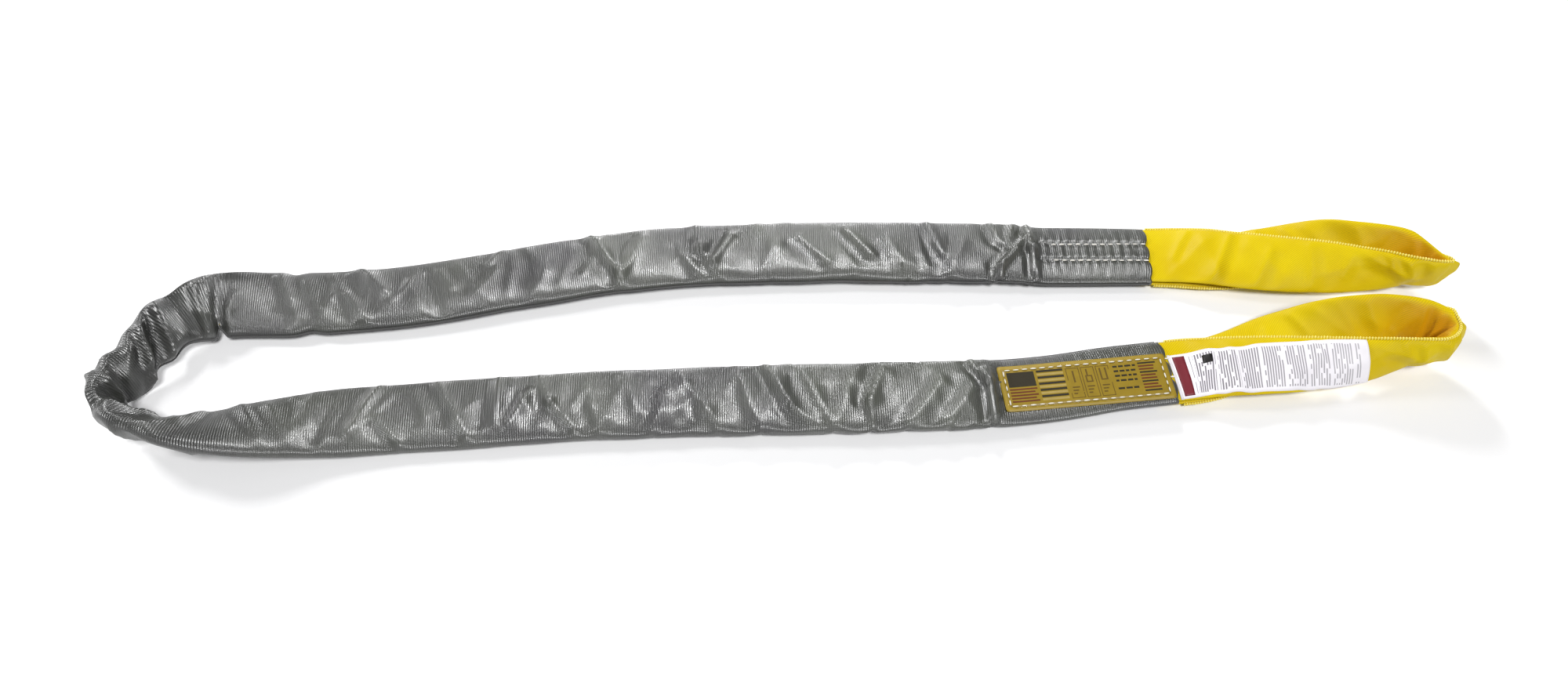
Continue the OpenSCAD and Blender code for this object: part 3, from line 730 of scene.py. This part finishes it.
pale_thread = thread_finish("sewing_thread", (0.62, 0.60, 0.52), (0.92, 0.90, 0.84))
for leg, end, heading in (("upper", (424, 102.5), 0), ("lower", (424, -60.5), 5.7)):
    way = np.array([math.cos(math.radians(heading)), math.sin(math.radians(heading)), 0])
    side = np.array([-way[1], way[0], 0])
    places = []
    for row in (-row_step, row_step):
        for number in range(12):
            p = np.array([*end, 0]) - way * (number * stitch_pitch + 4) + side * row - middle
            p /= 1000
            p[2] = cloth_top(p[0], p[1]) + 0.0009
            places.append(p)
    stitches = sewn(f"{leg}_quilting", places, [way] * 24, [side] * 24,
                    (6.6, 1.9, 1.7), pale_thread)
    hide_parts(f"{leg}_closing_stitches")
    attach(stitches, f"{leg}_leg")


# Eyes: where the cover ends, the jacketed hank goes on as a free loop. Its front band
# lies on its back band at the cover, turns on edge towards the end bend, and is
# gathered there to half its width. The jacket's seam runs along the raised edge.
eye_round = 64
eye_turns = even_turns(eye_round, 70, 12, 2.3)


def eye_line(front, bend, radius, width, back):
    """Rows from inside the cover along the front band, round the bend and back."""
    turn = np.radians(np.linspace(-90, 90, 60))
    arc = np.stack([bend[0] + radius * np.cos(turn), bend[1] + radius * np.sin(turn),
                    np.full(60, bend[2]), np.full(60, -90.0), np.full(60, width),
                    np.full(60, 20.0)], 1)
    line = np.vstack([drawn_line(front)[:-1], arc[1:-1], drawn_line(back)[1:]])
    return line


eyes = {
    "upper": dict(
        front=[[390, 103, 17.6, 0, 76, 10.6], [430, 102, 17.6, 0, 78, 10.6],
               [450, 102, 17.8, 0, 79, 10.6], [480, 97, 18.4, -1, 80, 10.6],
               [525, 87, 20.5, -4, 78, 11], [570, 80, 22.5, -12, 70, 12],
               [620, 73, 25, -24, 60, 14], [660, 68, 28, -42, 50, 17],
               [690, 63, 32, -68, 44, 19], [710, 62, 34, -90, 43, 20],
               [728, 62, 34, -90, 42, 20]],
        back=[[728, 106, 34, -90, 42, 20], [708, 106, 34, -90, 43, 20],
              [682, 110, 31, -106, 46, 18], [644, 115, 24, -128, 50, 14],
              [607, 115.5, 13, -166, 60, 12], [570, 107, 7.5, -178, 76, 11],
              [525, 98, 6.4, -180, 80, 10.6], [480, 98, 6.4, -180, 80, 10.6],
              [450, 102, 6.4, -180, 79, 10.6], [430, 102, 6.4, -180, 78, 10.6],
              [390, 103, 6.4, -180, 76, 10.6]],
        bend=(728, 84, 34), radius=22, width=42, hinge=(0, -1), beak=0.78),
    "lower": dict(
        front=[[390, -65, 17.6, 0, 76, 10.6], [430, -60, 17.6, 0, 78, 10.6],
               [450, -57.5, 17.8, 0, 78, 10.6], [490, -60, 19, -3, 72, 10.6],
               [545, -60, 22.5, -14, 64, 12], [592, -60, 25, -30, 54, 15],
               [635, -58, 29, -52, 47, 18], [662, -54, 34, -76, 46, 20],
               [682, -52, 36, -90, 46, 20], [700, -52, 36, -90, 46, 20]],
        back=[[700, 4, 36, -90, 46, 20], [682, 4, 36, -90, 48, 20],
              [652, 4, 31, -112, 56, 17], [605, -6, 24, -136, 58, 13],
              [570, -14, 14, -164, 62, 11], [541, -20, 8.5, -176, 68, 10.6],
              [495, -46, 6.6, -180, 74, 10.6], [450, -57.5, 6.4, -180, 78, 10.6],
              [430, -60, 6.4, -180, 78, 10.6], [390, -65, 6.4, -180, 76, 10.6]],
        bend=(700, -24, 36), radius=28, width=46, hinge=(0.1236, -0.9923), beak=0.12)}

# Creases of each eye's cloth: distance from the middle of the bend, share across, the
# same again, height, half width and face (1 is the outside of the loop)
eye_creases = [
    (-34, -0.9, -22, 0.5, 2.2, 5, 1), (-14, -0.8, -16, 0.7, -2.4, 4, 1),
    (-3, -0.9, 2, 0.8, 2.0, 5, 1), (14, -0.9, 10, 0.6, 1.8, 5, 1),
    (-60, -1.0, -52, -0.2, 1.8, 5, 1), (-78, -1.0, -74, -0.4, 1.4, 4, 1),
    (-95, -0.6, -40, 0.2, 1.8, 9, 1), (-150, 0.4, -100, -0.3, 1.3, 14, 1),
    (-230, -0.5, -190, 0.5, 1.2, 15, 1), (-290, -0.7, -265, 0.5, 1.6, 12, 1),
    (-315, 0.7, -280, -0.4, 1.3, 10, 1), (-20, -0.9, -12, 0.6, 2.4, 5, -1),
    (0, -0.9, 6, 0.8, -2.6, 5, -1), (20, -0.9, 12, 0.7, 2.6, 5, -1),
    (44, -0.8, 34, 0.6, 2.2, 6, -1), (62, -0.7, 84, 0.5, -1.8, 7, -1),
    (100, -0.7, 90, 0.5, 1.8, 10, -1), (150, -0.6, 126, 0.5, 1.5, 12, -1)]
yarn_less = 9
yellow_loops = thread_finish("jacket_overlock", (0.85, 0.72, 0.06), (1.0, 0.93, 0.30))
# The bead under the eyes' overlock is a darker yellow than the jacket: painted shade in the gaps
# between the thread loops.
yellow_bead_in_shade = thread_finish("jacket_edge_painted_shade", (0.52, 0.36, 0.006), (0.74, 0.55, 0.01))
eye_tubes = {}
for which, eye in eyes.items():
    line = eye_line(eye["front"], eye["bend"], eye["radius"], eye["width"], eye["back"])
    length = reach_of(line)[-1]
    count = int(length / 3)
    band = Band(line, np.linspace(0, length, count))
    bend_s = np.interp(0, np.unwrap(np.arctan2(band.along[:, 1], band.along[:, 0]))
                       - math.pi / 2, band.s)
    s = band.s[:, None]
    # Inside the cover's flattened end both bands are pressed thinner
    from_mouth = np.minimum(band.s, length - band.s) - 40
    pressed = 1 - smooth(4, 70, from_mouth)
    lower_band = band.s > bend_s
    new_t = band.t + pressed * (5.4 - band.t)
    band.centre[:, 2] += pressed * (np.where(lower_band, 5.0, 11.6) - band.centre[:, 2])
    band.t = new_t
    across, out = flattened(eye_turns, band.w, band.t, 2.3)
    share = across / (band.w / 2)[:, None]
    outside = smooth(0.05, 0.7, np.sin(eye_turns))[None]
    inside = smooth(0.05, 0.7, -np.sin(eye_turns))[None]
    places = [[(a + bend_s, b, c + bend_s, d, e, f) for a, b, c, d, e, f, g in eye_creases
               if g == face] for face in (1, -1)]
    free = smooth(-10, 40, from_mouth)[:, None]
    rng = random.Random(19 + len(which) + ord(which[0]))
    for number in range(26):
        at = 50 + (length - 100) * (number + rng.random()) / 26
        places[number % 2].append((at, rng.uniform(0.1, 1.0), at + rng.uniform(-26, 26),
                                   rng.uniform(-1.0, -0.1), rng.uniform(0.9, 2.0),
                                   rng.uniform(5, 11)))
    height = free * (outside * crease_height(s, share, 28, places[0])
                     + inside * crease_height(s, share, 28, places[1]))
    height += free * 1.1 * cloth_drift(s, share, 34, 20.5 + len(which) + ord(which[0]))
    height = np.maximum(height, -2.6)
    outward = unit_rows(np.stack([across / (band.w / 2)[:, None] ** 2,
                                  out / (band.t / 2)[:, None] ** 2], -1))
    points = band.place(across + outward[..., 0] * height * 0.4, out + outward[..., 1] * height)
    # The end bend leans out at its top
    top_z = (eye["bend"][2] + eye["width"] / 2) / 1000
    past = smooth(eye["bend"][0] - 34, eye["bend"][0] + 6, points[..., 0] * 1000 + middle[0])

    def settle(cloth, past):
        """Leans the end bend out at its top and draws its far side in to a beak."""
        drop = np.maximum(0, top_z - cloth[..., 2])
        x = cloth[..., 0] * 1000 + middle[0]
        near_y = (eye["bend"][1] - eye["radius"] - 10 - middle[1]) / 1000
        behind = smooth(near_y + 0.012, near_y + 0.040, cloth[..., 1])
        cloth[..., 1] -= 0.42 * behind * smooth(eye["bend"][0] - 95, eye["bend"][0] - 30, x) * drop
        pull = eye["beak"] * smooth(eye["bend"][0] - 36, eye["bend"][0] + 24, x) ** 2
        cloth[..., 1] -= pull * (cloth[..., 1] - near_y)
        cloth[..., 0] -= 0.30 * past * drop
        cloth[..., 2] = np.maximum(cloth[..., 2], 0.0003)

    settle(points, past)
    rings = len(band.s)
    jacket = new_piece(f"{which}_eye_jacket", points.reshape(-1, 3),
                       tube_faces(rings, eye_round), yellow_finish)
    around = np.arange(eye_round + 1) * 0.17 / eye_round
    give_cloth_map(jacket, rings, eye_round, band.s / 1000, around)
    # Painted shade inside each eye's end bend: highest on the loop's inner face at the bend, fading
    # along the band.
    painted_bend_shade = inside * np.exp(-((s - bend_s) / 85) ** 2)
    shaded = jacket.data.attributes.new("painted_bend_shade", "FLOAT", "POINT")
    shaded.data.foreach_set("value", painted_bend_shade.ravel().astype(np.float32))
    give_wall(jacket, 0.8)
    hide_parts(*[f"{which}_eye_{part}_jacket" for part in ("front", "bend", "back")])

    yarn_across, yarn_out = flattened(eye_turns[::2], band.w - yarn_less - 3,
                                      np.maximum(band.t - yarn_less, 2), 2.3)
    yarn_points = band.place(yarn_across, yarn_out)
    settle(yarn_points, past[:, ::2])
    yarn = closed_tube(f"{which}_eye_yarn", yarn_points, yarn_finish)
    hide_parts(f"{which}_eye_core")

    # The seam keeps to the raised edge along the front band, crosses the outside of the
    # gathers just past the bend and goes on along the lower edge of the back band
    turned = smooth(bend_s + 6, bend_s + 90, band.s)
    index = (0.5 - 0.5 * turned) * eye_round
    low = np.floor(index).astype(int)
    part = (index - low)[:, None]
    ring = np.arange(rings)
    edge = points[ring, low % eye_round] * (1 - part) + points[ring, (low + 1) % eye_round] * part
    away = unit_rows(edge - points.mean(axis=1))
    keep = slice(int(36 / 3), -int(36 / 3))
    edge_line = overlocked(f"{which}_eye_overlock", edge[keep] + 0.0006 * away[keep],
                           away[keep], 3.0, (3.0, 2.4), (4.4, 1.6, 3.4), yellow_loops, yellow_bead_in_shade)
    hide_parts(f"{which}_eye_seam")
    for piece in [jacket, yarn, *edge_line]:
        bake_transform(piece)
    eye_tubes[which] = (band, points, bend_s)


# Identification tag: an olive-gold vinyl backing, a printed slip and a clear film, all
# sewn to the flattened end of the lower leg with one row of pale thread round it.
tag_at = (326, -81)
tag_heading = math.radians(5.8)
tag_length, tag_width = 186, 58
tag_ahead = np.array([math.cos(tag_heading), math.sin(tag_heading)])
tag_side = np.array([-tag_ahead[1], tag_ahead[0]])


def on_tag(a, b, lift):
    """A place on the tag: a along it and b across it from its middle, in millimetres."""
    floor_place = (np.array(tag_at) + a * tag_ahead + b * tag_side - middle[:2]) / 1000
    swell = 0.35 * noise.noise((a / 38, b / 25, 2.2)) + 0.9 * math.exp(-((a + 93) / 9) ** 2)
    return (*floor_place, (sewn_t + 1.1 + swell + lift) / 1000)


def tag_sheet(name, box, lift, thickness, finish, corner=2.0, gap=4.0):
    """A thin sheet on the tag, from low a and b to high a and b, with rounded corners."""
    a0, b0, a1, b1 = box
    across = max(2, round((a1 - a0) / gap) + 1)
    down = max(2, round((b1 - b0) / gap) + 1)
    points, faces = [], []
    for i in range(across):
        for j in range(down):
            a = a0 + (a1 - a0) * i / (across - 1)
            b = b0 + (b1 - b0) * j / (down - 1)
            if i in (0, across - 1) and j in (0, down - 1):
                a += corner * 0.4 * (1 if i == 0 else -1)
                b += corner * 0.4 * (1 if j == 0 else -1)
            points.append(on_tag(a, b, lift + thickness))
    for i in range(across - 1):
        for j in range(down - 1):
            k = i * down + j
            faces.append((k, k + down, k + down + 1, k + 1))
    piece = new_piece(name, points, faces, finish)
    layer = piece.data.uv_layers.new(name="cloth")
    flat = []
    for face in faces:
        for k in face:
            flat += [(a0 + (a1 - a0) * (k // down) / (across - 1)) / 1000,
                     (b0 + (b1 - b0) * (k % down) / (down - 1)) / 1000]
    layer.data.foreach_set("uv", flat)
    return give_wall(piece, thickness)


def printed(name, colour, rough=0.5):
    """Printed ink or vinyl: nearly even, with a light mottle and a soft grain."""
    finish, tree, shader = new_finish(name, colour, Roughness=rough)
    body = put(tree, "ShaderNodeTexCoord", {}).outputs["Object"]
    mottle = put(tree, "ShaderNodeTexNoise", {"Vector": body, "Scale": 90, "Detail": 4})
    dark = tuple(c * 0.78 for c in colour)
    light = tuple(min(1, c * 1.15) for c in colour)
    tint = put(tree, "ShaderNodeMix", {"Factor": mottle.outputs["Fac"], "A": (*dark, 1),
                                       "B": (*light, 1)}, data_type="RGBA")
    tree.links.new(tint.outputs["Result"], shader.inputs["Base Color"])
    grain = put(tree, "ShaderNodeTexNoise", {"Vector": body, "Scale": 900, "Detail": 2})
    bump = put(tree, "ShaderNodeBump", {"Height": grain.outputs["Fac"], "Strength": 0.25,
                                        "Distance": 0.0002})
    tree.links.new(bump.outputs["Normal"], shader.inputs["Normal"])
    return finish


gold = printed("tag_backing", (0.34, 0.23, 0.014))
slip_gold = printed("tag_slip", (0.30, 0.20, 0.012), 0.4)
ink = printed("tag_ink", (0.012, 0.011, 0.010), 0.4)
pale_ink = printed("tag_pale_ink", (0.42, 0.31, 0.09), 0.4)
brown_ink = printed("tag_brown_ink", (0.13, 0.025, 0.01), 0.4)
olive_ink = printed("tag_olive_ink", (0.12, 0.07, 0.008), 0.4)
half_l, half_w = tag_length / 2, tag_width / 2
backing = tag_sheet("tag_vinyl", (-half_l, -half_w, half_l, half_w), 0, 0.8, gold)
slip = tag_sheet("tag_slip", (-half_l + 5, -half_w + 5, half_l - 5, half_w - 5), 0.82, 0.25,
                 slip_gold)
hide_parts("tag_backing")
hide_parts("tag_insert")

# The print is plain blocks and bars only. A block is low a, low b, high a, high b
blocks = {"ink": [(-84, 1, -54, 20)], "pale": [], "brown": [], "olive": []}
for line in range(5):
    blocks["brown"].append((-84, -3 - 3.8 * line, -54 - 3 * (line % 2), -1 - 3.8 * line))
for line in range(10):
    kind = "ink" if line % 2 == 0 else "pale"
    blocks[kind].append((-51, 17.6 - 4 * line, -22, 20.4 - 4 * line))
for number in range(3):
    left = -19 + 16.5 * number
    for bar in ((0, 19, 14.5, 19.8), (0, -19, 14.5, -18.2), (0, -19, 0.8, 19),
                (13.7, -19, 14.5, 19)):
        blocks["olive"].append((left + bar[0], bar[1], left + bar[2], bar[3]))
    for line in range(3):
        blocks["olive"].append((left + 3, -6 - 4 * line, left + 11 - 2 * line, -4.4 - 4 * line))
# Three ways to rig a load, as plain line figures: straight, choked and in a basket
for left, bars in ((-19, [(6.4, 1, 8.2, 16)]),
                   (-2.5, [(5, 9, 6.8, 17), (3.4, 7.4, 11, 9), (3.4, 0, 5, 8), (9.4, 0, 11, 8),
                           (3.4, 0, 11, 1.6)]),
                   (14, [(3.4, 3, 5.2, 17), (9.4, 3, 11.2, 17), (3.4, 1.4, 11.2, 3)])):
    for bar in bars:
        blocks["olive"].append((left + bar[0], bar[1], left + bar[2], bar[3]))
rng = random.Random(11)
for line in range(5):
    b = 15.5 - 6 * line - (4 if line == 4 else 0)
    a = 33
    while a < 55:
        word = rng.uniform(3, 7)
        blocks["ink"].append((a, b, min(a + word, 58), b + 2.4))
        a += word + 1.6
for line in range(10):
    b = 17.5 - 3.9 * line
    blocks["brown" if line % 3 else "ink"].append((61, b, 80 + rng.uniform(-3, 3), b + 2))
finishes = {"ink": ink, "pale": pale_ink, "brown": brown_ink, "olive": olive_ink}
prints = []
for kind, boxes in blocks.items():
    points, faces = [], []
    for a0, b0, a1, b1 in boxes:
        steps = max(1, round((a1 - a0) / 6))
        for i in range(steps + 1):
            a = a0 + (a1 - a0) * i / steps
            for b in (b0, b1):
                points += [on_tag(a, b, 1.09), on_tag(a, b, 1.14)]
        base = len(points) - 4 * (steps + 1)
        for i in range(steps):
            p = base + 4 * i
            faces += [(p + 1, p + 5, p + 7, p + 3), (p, p + 2, p + 6, p + 4),
                      (p, p + 4, p + 5, p + 1), (p + 2, p + 3, p + 7, p + 6)]
        end = base + 4 * steps
        faces += [(base, base + 1, base + 3, base + 2), (end, end + 2, end + 3, end + 1)]
    piece = new_piece(f"tag_{kind}_print", points, faces, finishes[kind])
    piece.data.shade_flat()
    prints.append(piece)

film_finish, tree, shader = new_finish("tag_film", (0.25, 0.18, 0.03), Roughness=0.12,
                                       Alpha=0.04, Coat_Weight=1.0, Coat_Roughness=0.05)
body = put(tree, "ShaderNodeTexCoord", {}).outputs["Object"]
cockle = put(tree, "ShaderNodeTexNoise", {"Vector": body, "Scale": 42, "Detail": 2})
bump = put(tree, "ShaderNodeBump", {"Height": cockle.outputs["Fac"], "Strength": 0.6,
                                    "Distance": 0.002})
tree.links.new(bump.outputs["Normal"], shader.inputs["Normal"])
film = tag_sheet("tag_window", (-half_l + 3, -half_w + 3, half_l - 3, half_w - 3), 1.25, 0.25,
                 film_finish)
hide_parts("tag_film")
places, ways, sides = [], [], []
inset_l, inset_w = half_l - 6, half_w - 6
long_count, short_count = 18, 5
for sign in (-1, 1):
    for number in range(long_count):
        a = -inset_l + (number + 0.5) * 2 * inset_l / long_count
        places.append(on_tag(a, sign * inset_w, 1.7))
        ways.append((*tag_ahead, 0))
        sides.append((*tag_side, 0))
    for number in range(short_count):
        b = -inset_w + (number + 0.5) * 2 * inset_w / short_count
        places.append(on_tag(sign * inset_l, b, 1.7))
        ways.append((*tag_side, 0))
        sides.append((*tag_ahead, 0))
tag_seam = sewn("tag_seam", places, ways, sides, (6.8, 1.5, 1.1), pale_thread)
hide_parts("tag_stitches")
for piece, slot in ((backing, "tag_backing"), (slip, "tag_print"), (film, "tag_film"),
                    (tag_seam, "sewing_thread"), *[(p, "tag_print") for p in prints]):
    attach(piece, "lower_leg")


# User label: a strip of white coated cloth sewn in at the cover's mouth. It lies free
# on the lower eye's front band and curls down over its near side, with a maroon strip
# and plain grey lines printed across it.
label_width, label_length = 54, 208
band, eye_points, bend_s = eye_tubes["lower"]
label_from = 33
label_lift = 0.9


def on_label(distance, a, lift):
    """A place on the label: distance from its sewn edge and a down from its far edge."""
    s = label_from + distance
    i = int(np.clip(np.searchsorted(band.s, s) - 1, 0, len(band.s) - 2))
    part = (s - band.s[i]) / (band.s[i + 1] - band.s[i])
    half = eye_round // 2
    order = np.arange(half, -eye_round // 4, -1) % eye_round
    ring = eye_points[i, order] * (1 - part) + eye_points[i + 1, order] * part
    away = unit_rows(ring - (ring[0] + ring[half]) / 2)
    reach = np.r_[0, np.cumsum(np.linalg.norm(np.diff(ring, axis=0), axis=1))] * 1000
    want = 22 - 19 * float(smooth(0, label_length, distance)) + a
    place = np.array([np.interp(want, reach, ring[:, c]) for c in range(3)])
    out = np.array([np.interp(want, reach, away[:, c]) for c in range(3)])
    flat_out = band.out[i]
    out = out * 0.25 + flat_out * max(0.0, float(np.dot(out, flat_out))) + flat_out * 0.05
    out /= np.linalg.norm(out)
    return place + out * (label_lift + lift) / 1000


label_finish, tree, shader = new_finish("label_cloth", (0.86, 0.84, 0.88), Roughness=0.5,
                                        Sheen_Weight=0.1)
cloth = put(tree, "ShaderNodeUVMap", {}, uv_map="cloth").outputs["UV"]
axes = put(tree, "ShaderNodeSeparateXYZ", {"Vector": cloth})
# Each line is a few grey words across the label; the numbers are lines and words a metre
spots = put(tree, "ShaderNodeMapping", {"Vector": cloth, "Scale": (370, 190, 1)})
line_axes = put(tree, "ShaderNodeSeparateXYZ", {"Vector": spots.outputs["Vector"]})
in_line = put(tree, "ShaderNodeMath", {0: line_axes.outputs["X"]}, operation="FRACT")
line_mask = put(tree, "ShaderNodeMath", {0: in_line.outputs["Value"], 1: 0.5},
                operation="LESS_THAN")
cells = put(tree, "ShaderNodeVectorMath", {0: spots.outputs["Vector"]}, operation="FLOOR")
words = put(tree, "ShaderNodeTexWhiteNoise", {"Vector": cells.outputs["Vector"]},
            noise_dimensions="2D")
word_mask = put(tree, "ShaderNodeMath", {0: words.outputs["Value"], 1: 0.12},
                operation="GREATER_THAN")
groups = put(tree, "ShaderNodeMath", {0: axes.outputs["X"], 1: 0.012}, operation="PINGPONG")
group_mask = put(tree, "ShaderNodeMath", {0: groups.outputs["Value"], 1: 0.0014},
                 operation="GREATER_THAN")
near = put(tree, "ShaderNodeMath", {0: axes.outputs["Y"], 1: 0.0045}, operation="GREATER_THAN")
far = put(tree, "ShaderNodeMath", {0: axes.outputs["Y"], 1: 0.0495}, operation="LESS_THAN")
begin = put(tree, "ShaderNodeMath", {0: axes.outputs["X"], 1: 0.022}, operation="GREATER_THAN")
stop = put(tree, "ShaderNodeMath", {0: axes.outputs["X"], 1: 0.200}, operation="LESS_THAN")
mask = line_mask
for other in (word_mask, group_mask, near, far, begin, stop):
    mask = put(tree, "ShaderNodeMath", {0: mask.outputs["Value"], 1: other.outputs["Value"]},
               operation="MULTIPLY")
fade = put(tree, "ShaderNodeMapRange", {"Value": axes.outputs["X"], "From Max": 0.2,
                                        "To Min": 0.95, "To Max": 0.55})
mask = put(tree, "ShaderNodeMath", {0: mask.outputs["Value"], 1: fade.outputs["Result"]},
           operation="MULTIPLY")
soil = put(tree, "ShaderNodeTexNoise", {"Vector": cloth, "Scale": 35, "Detail": 3})
white = put(tree, "ShaderNodeMix", {"Factor": soil.outputs["Fac"], "A": (0.78, 0.75, 0.80, 1),
                                    "B": (0.93, 0.91, 0.94, 1)}, data_type="RGBA")
tint = put(tree, "ShaderNodeMix", {"Factor": mask.outputs["Value"],
                                   "A": white.outputs["Result"], "B": (0.10, 0.09, 0.11, 1)},
           data_type="RGBA")
tree.links.new(tint.outputs["Result"], shader.inputs["Base Color"])
weft = put(tree, "ShaderNodeTexWave", {"Vector": cloth, "Scale": wave_unit / 0.0008})
bump = put(tree, "ShaderNodeBump", {"Height": weft.outputs["Fac"], "Strength": 0.15,
                                    "Distance": 0.0002})
tree.links.new(bump.outputs["Normal"], shader.inputs["Normal"])


def label_sheet(name, from_, to, far_margin, near_margin, lift, thickness, finish):
    """A thin sheet that follows the label, between two distances from its sewn edge."""
    rows = max(3, round((to - from_) / 3.2) + 1)
    columns = 19
    points, flat = [], []
    for i in range(rows):
        distance = from_ + (to - from_) * i / (rows - 1)
        for j in range(columns):
            a = far_margin + (label_width - far_margin - near_margin) * j / (columns - 1)
            points.append(on_label(distance, a, lift + thickness))
            flat.append((distance / 1000, a / 1000))
    faces = [(i * columns + j, i * columns + j + 1, (i + 1) * columns + j + 1,
              (i + 1) * columns + j) for i in range(rows - 1) for j in range(columns - 1)]
    piece = new_piece(name, points, faces, finish)
    layer = piece.data.uv_layers.new(name="cloth")
    layer.data.foreach_set("uv", [c for f in faces for k in f for c in flat[k]])
    return give_wall(piece, thickness)


label = label_sheet("label_strip", 0, label_length, 0, 0, 0, 0.4, label_finish)
maroon = printed("label_header", (0.17, 0.012, 0.022), 0.5)
header = label_sheet("label_band", 5, 18, 3, 3, 0.42, 0.1, maroon)
hem_finish = printed("label_hem", (0.80, 0.78, 0.82), 0.55)
hem = label_sheet("label_fold", 0, 3, 0, 0, 0.45, 0.4, hem_finish)
figure = label_sheet("label_figure", 34, 44, 8, 36, 0.42, 0.08, ink)
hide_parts("user_label")
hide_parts("label_header")
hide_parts("label_hem")
for piece, slot in ((label, "label_cloth"), (header, "label_header"), (hem, "label_cloth"),
                    (figure, "label_cloth")):
    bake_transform(piece)
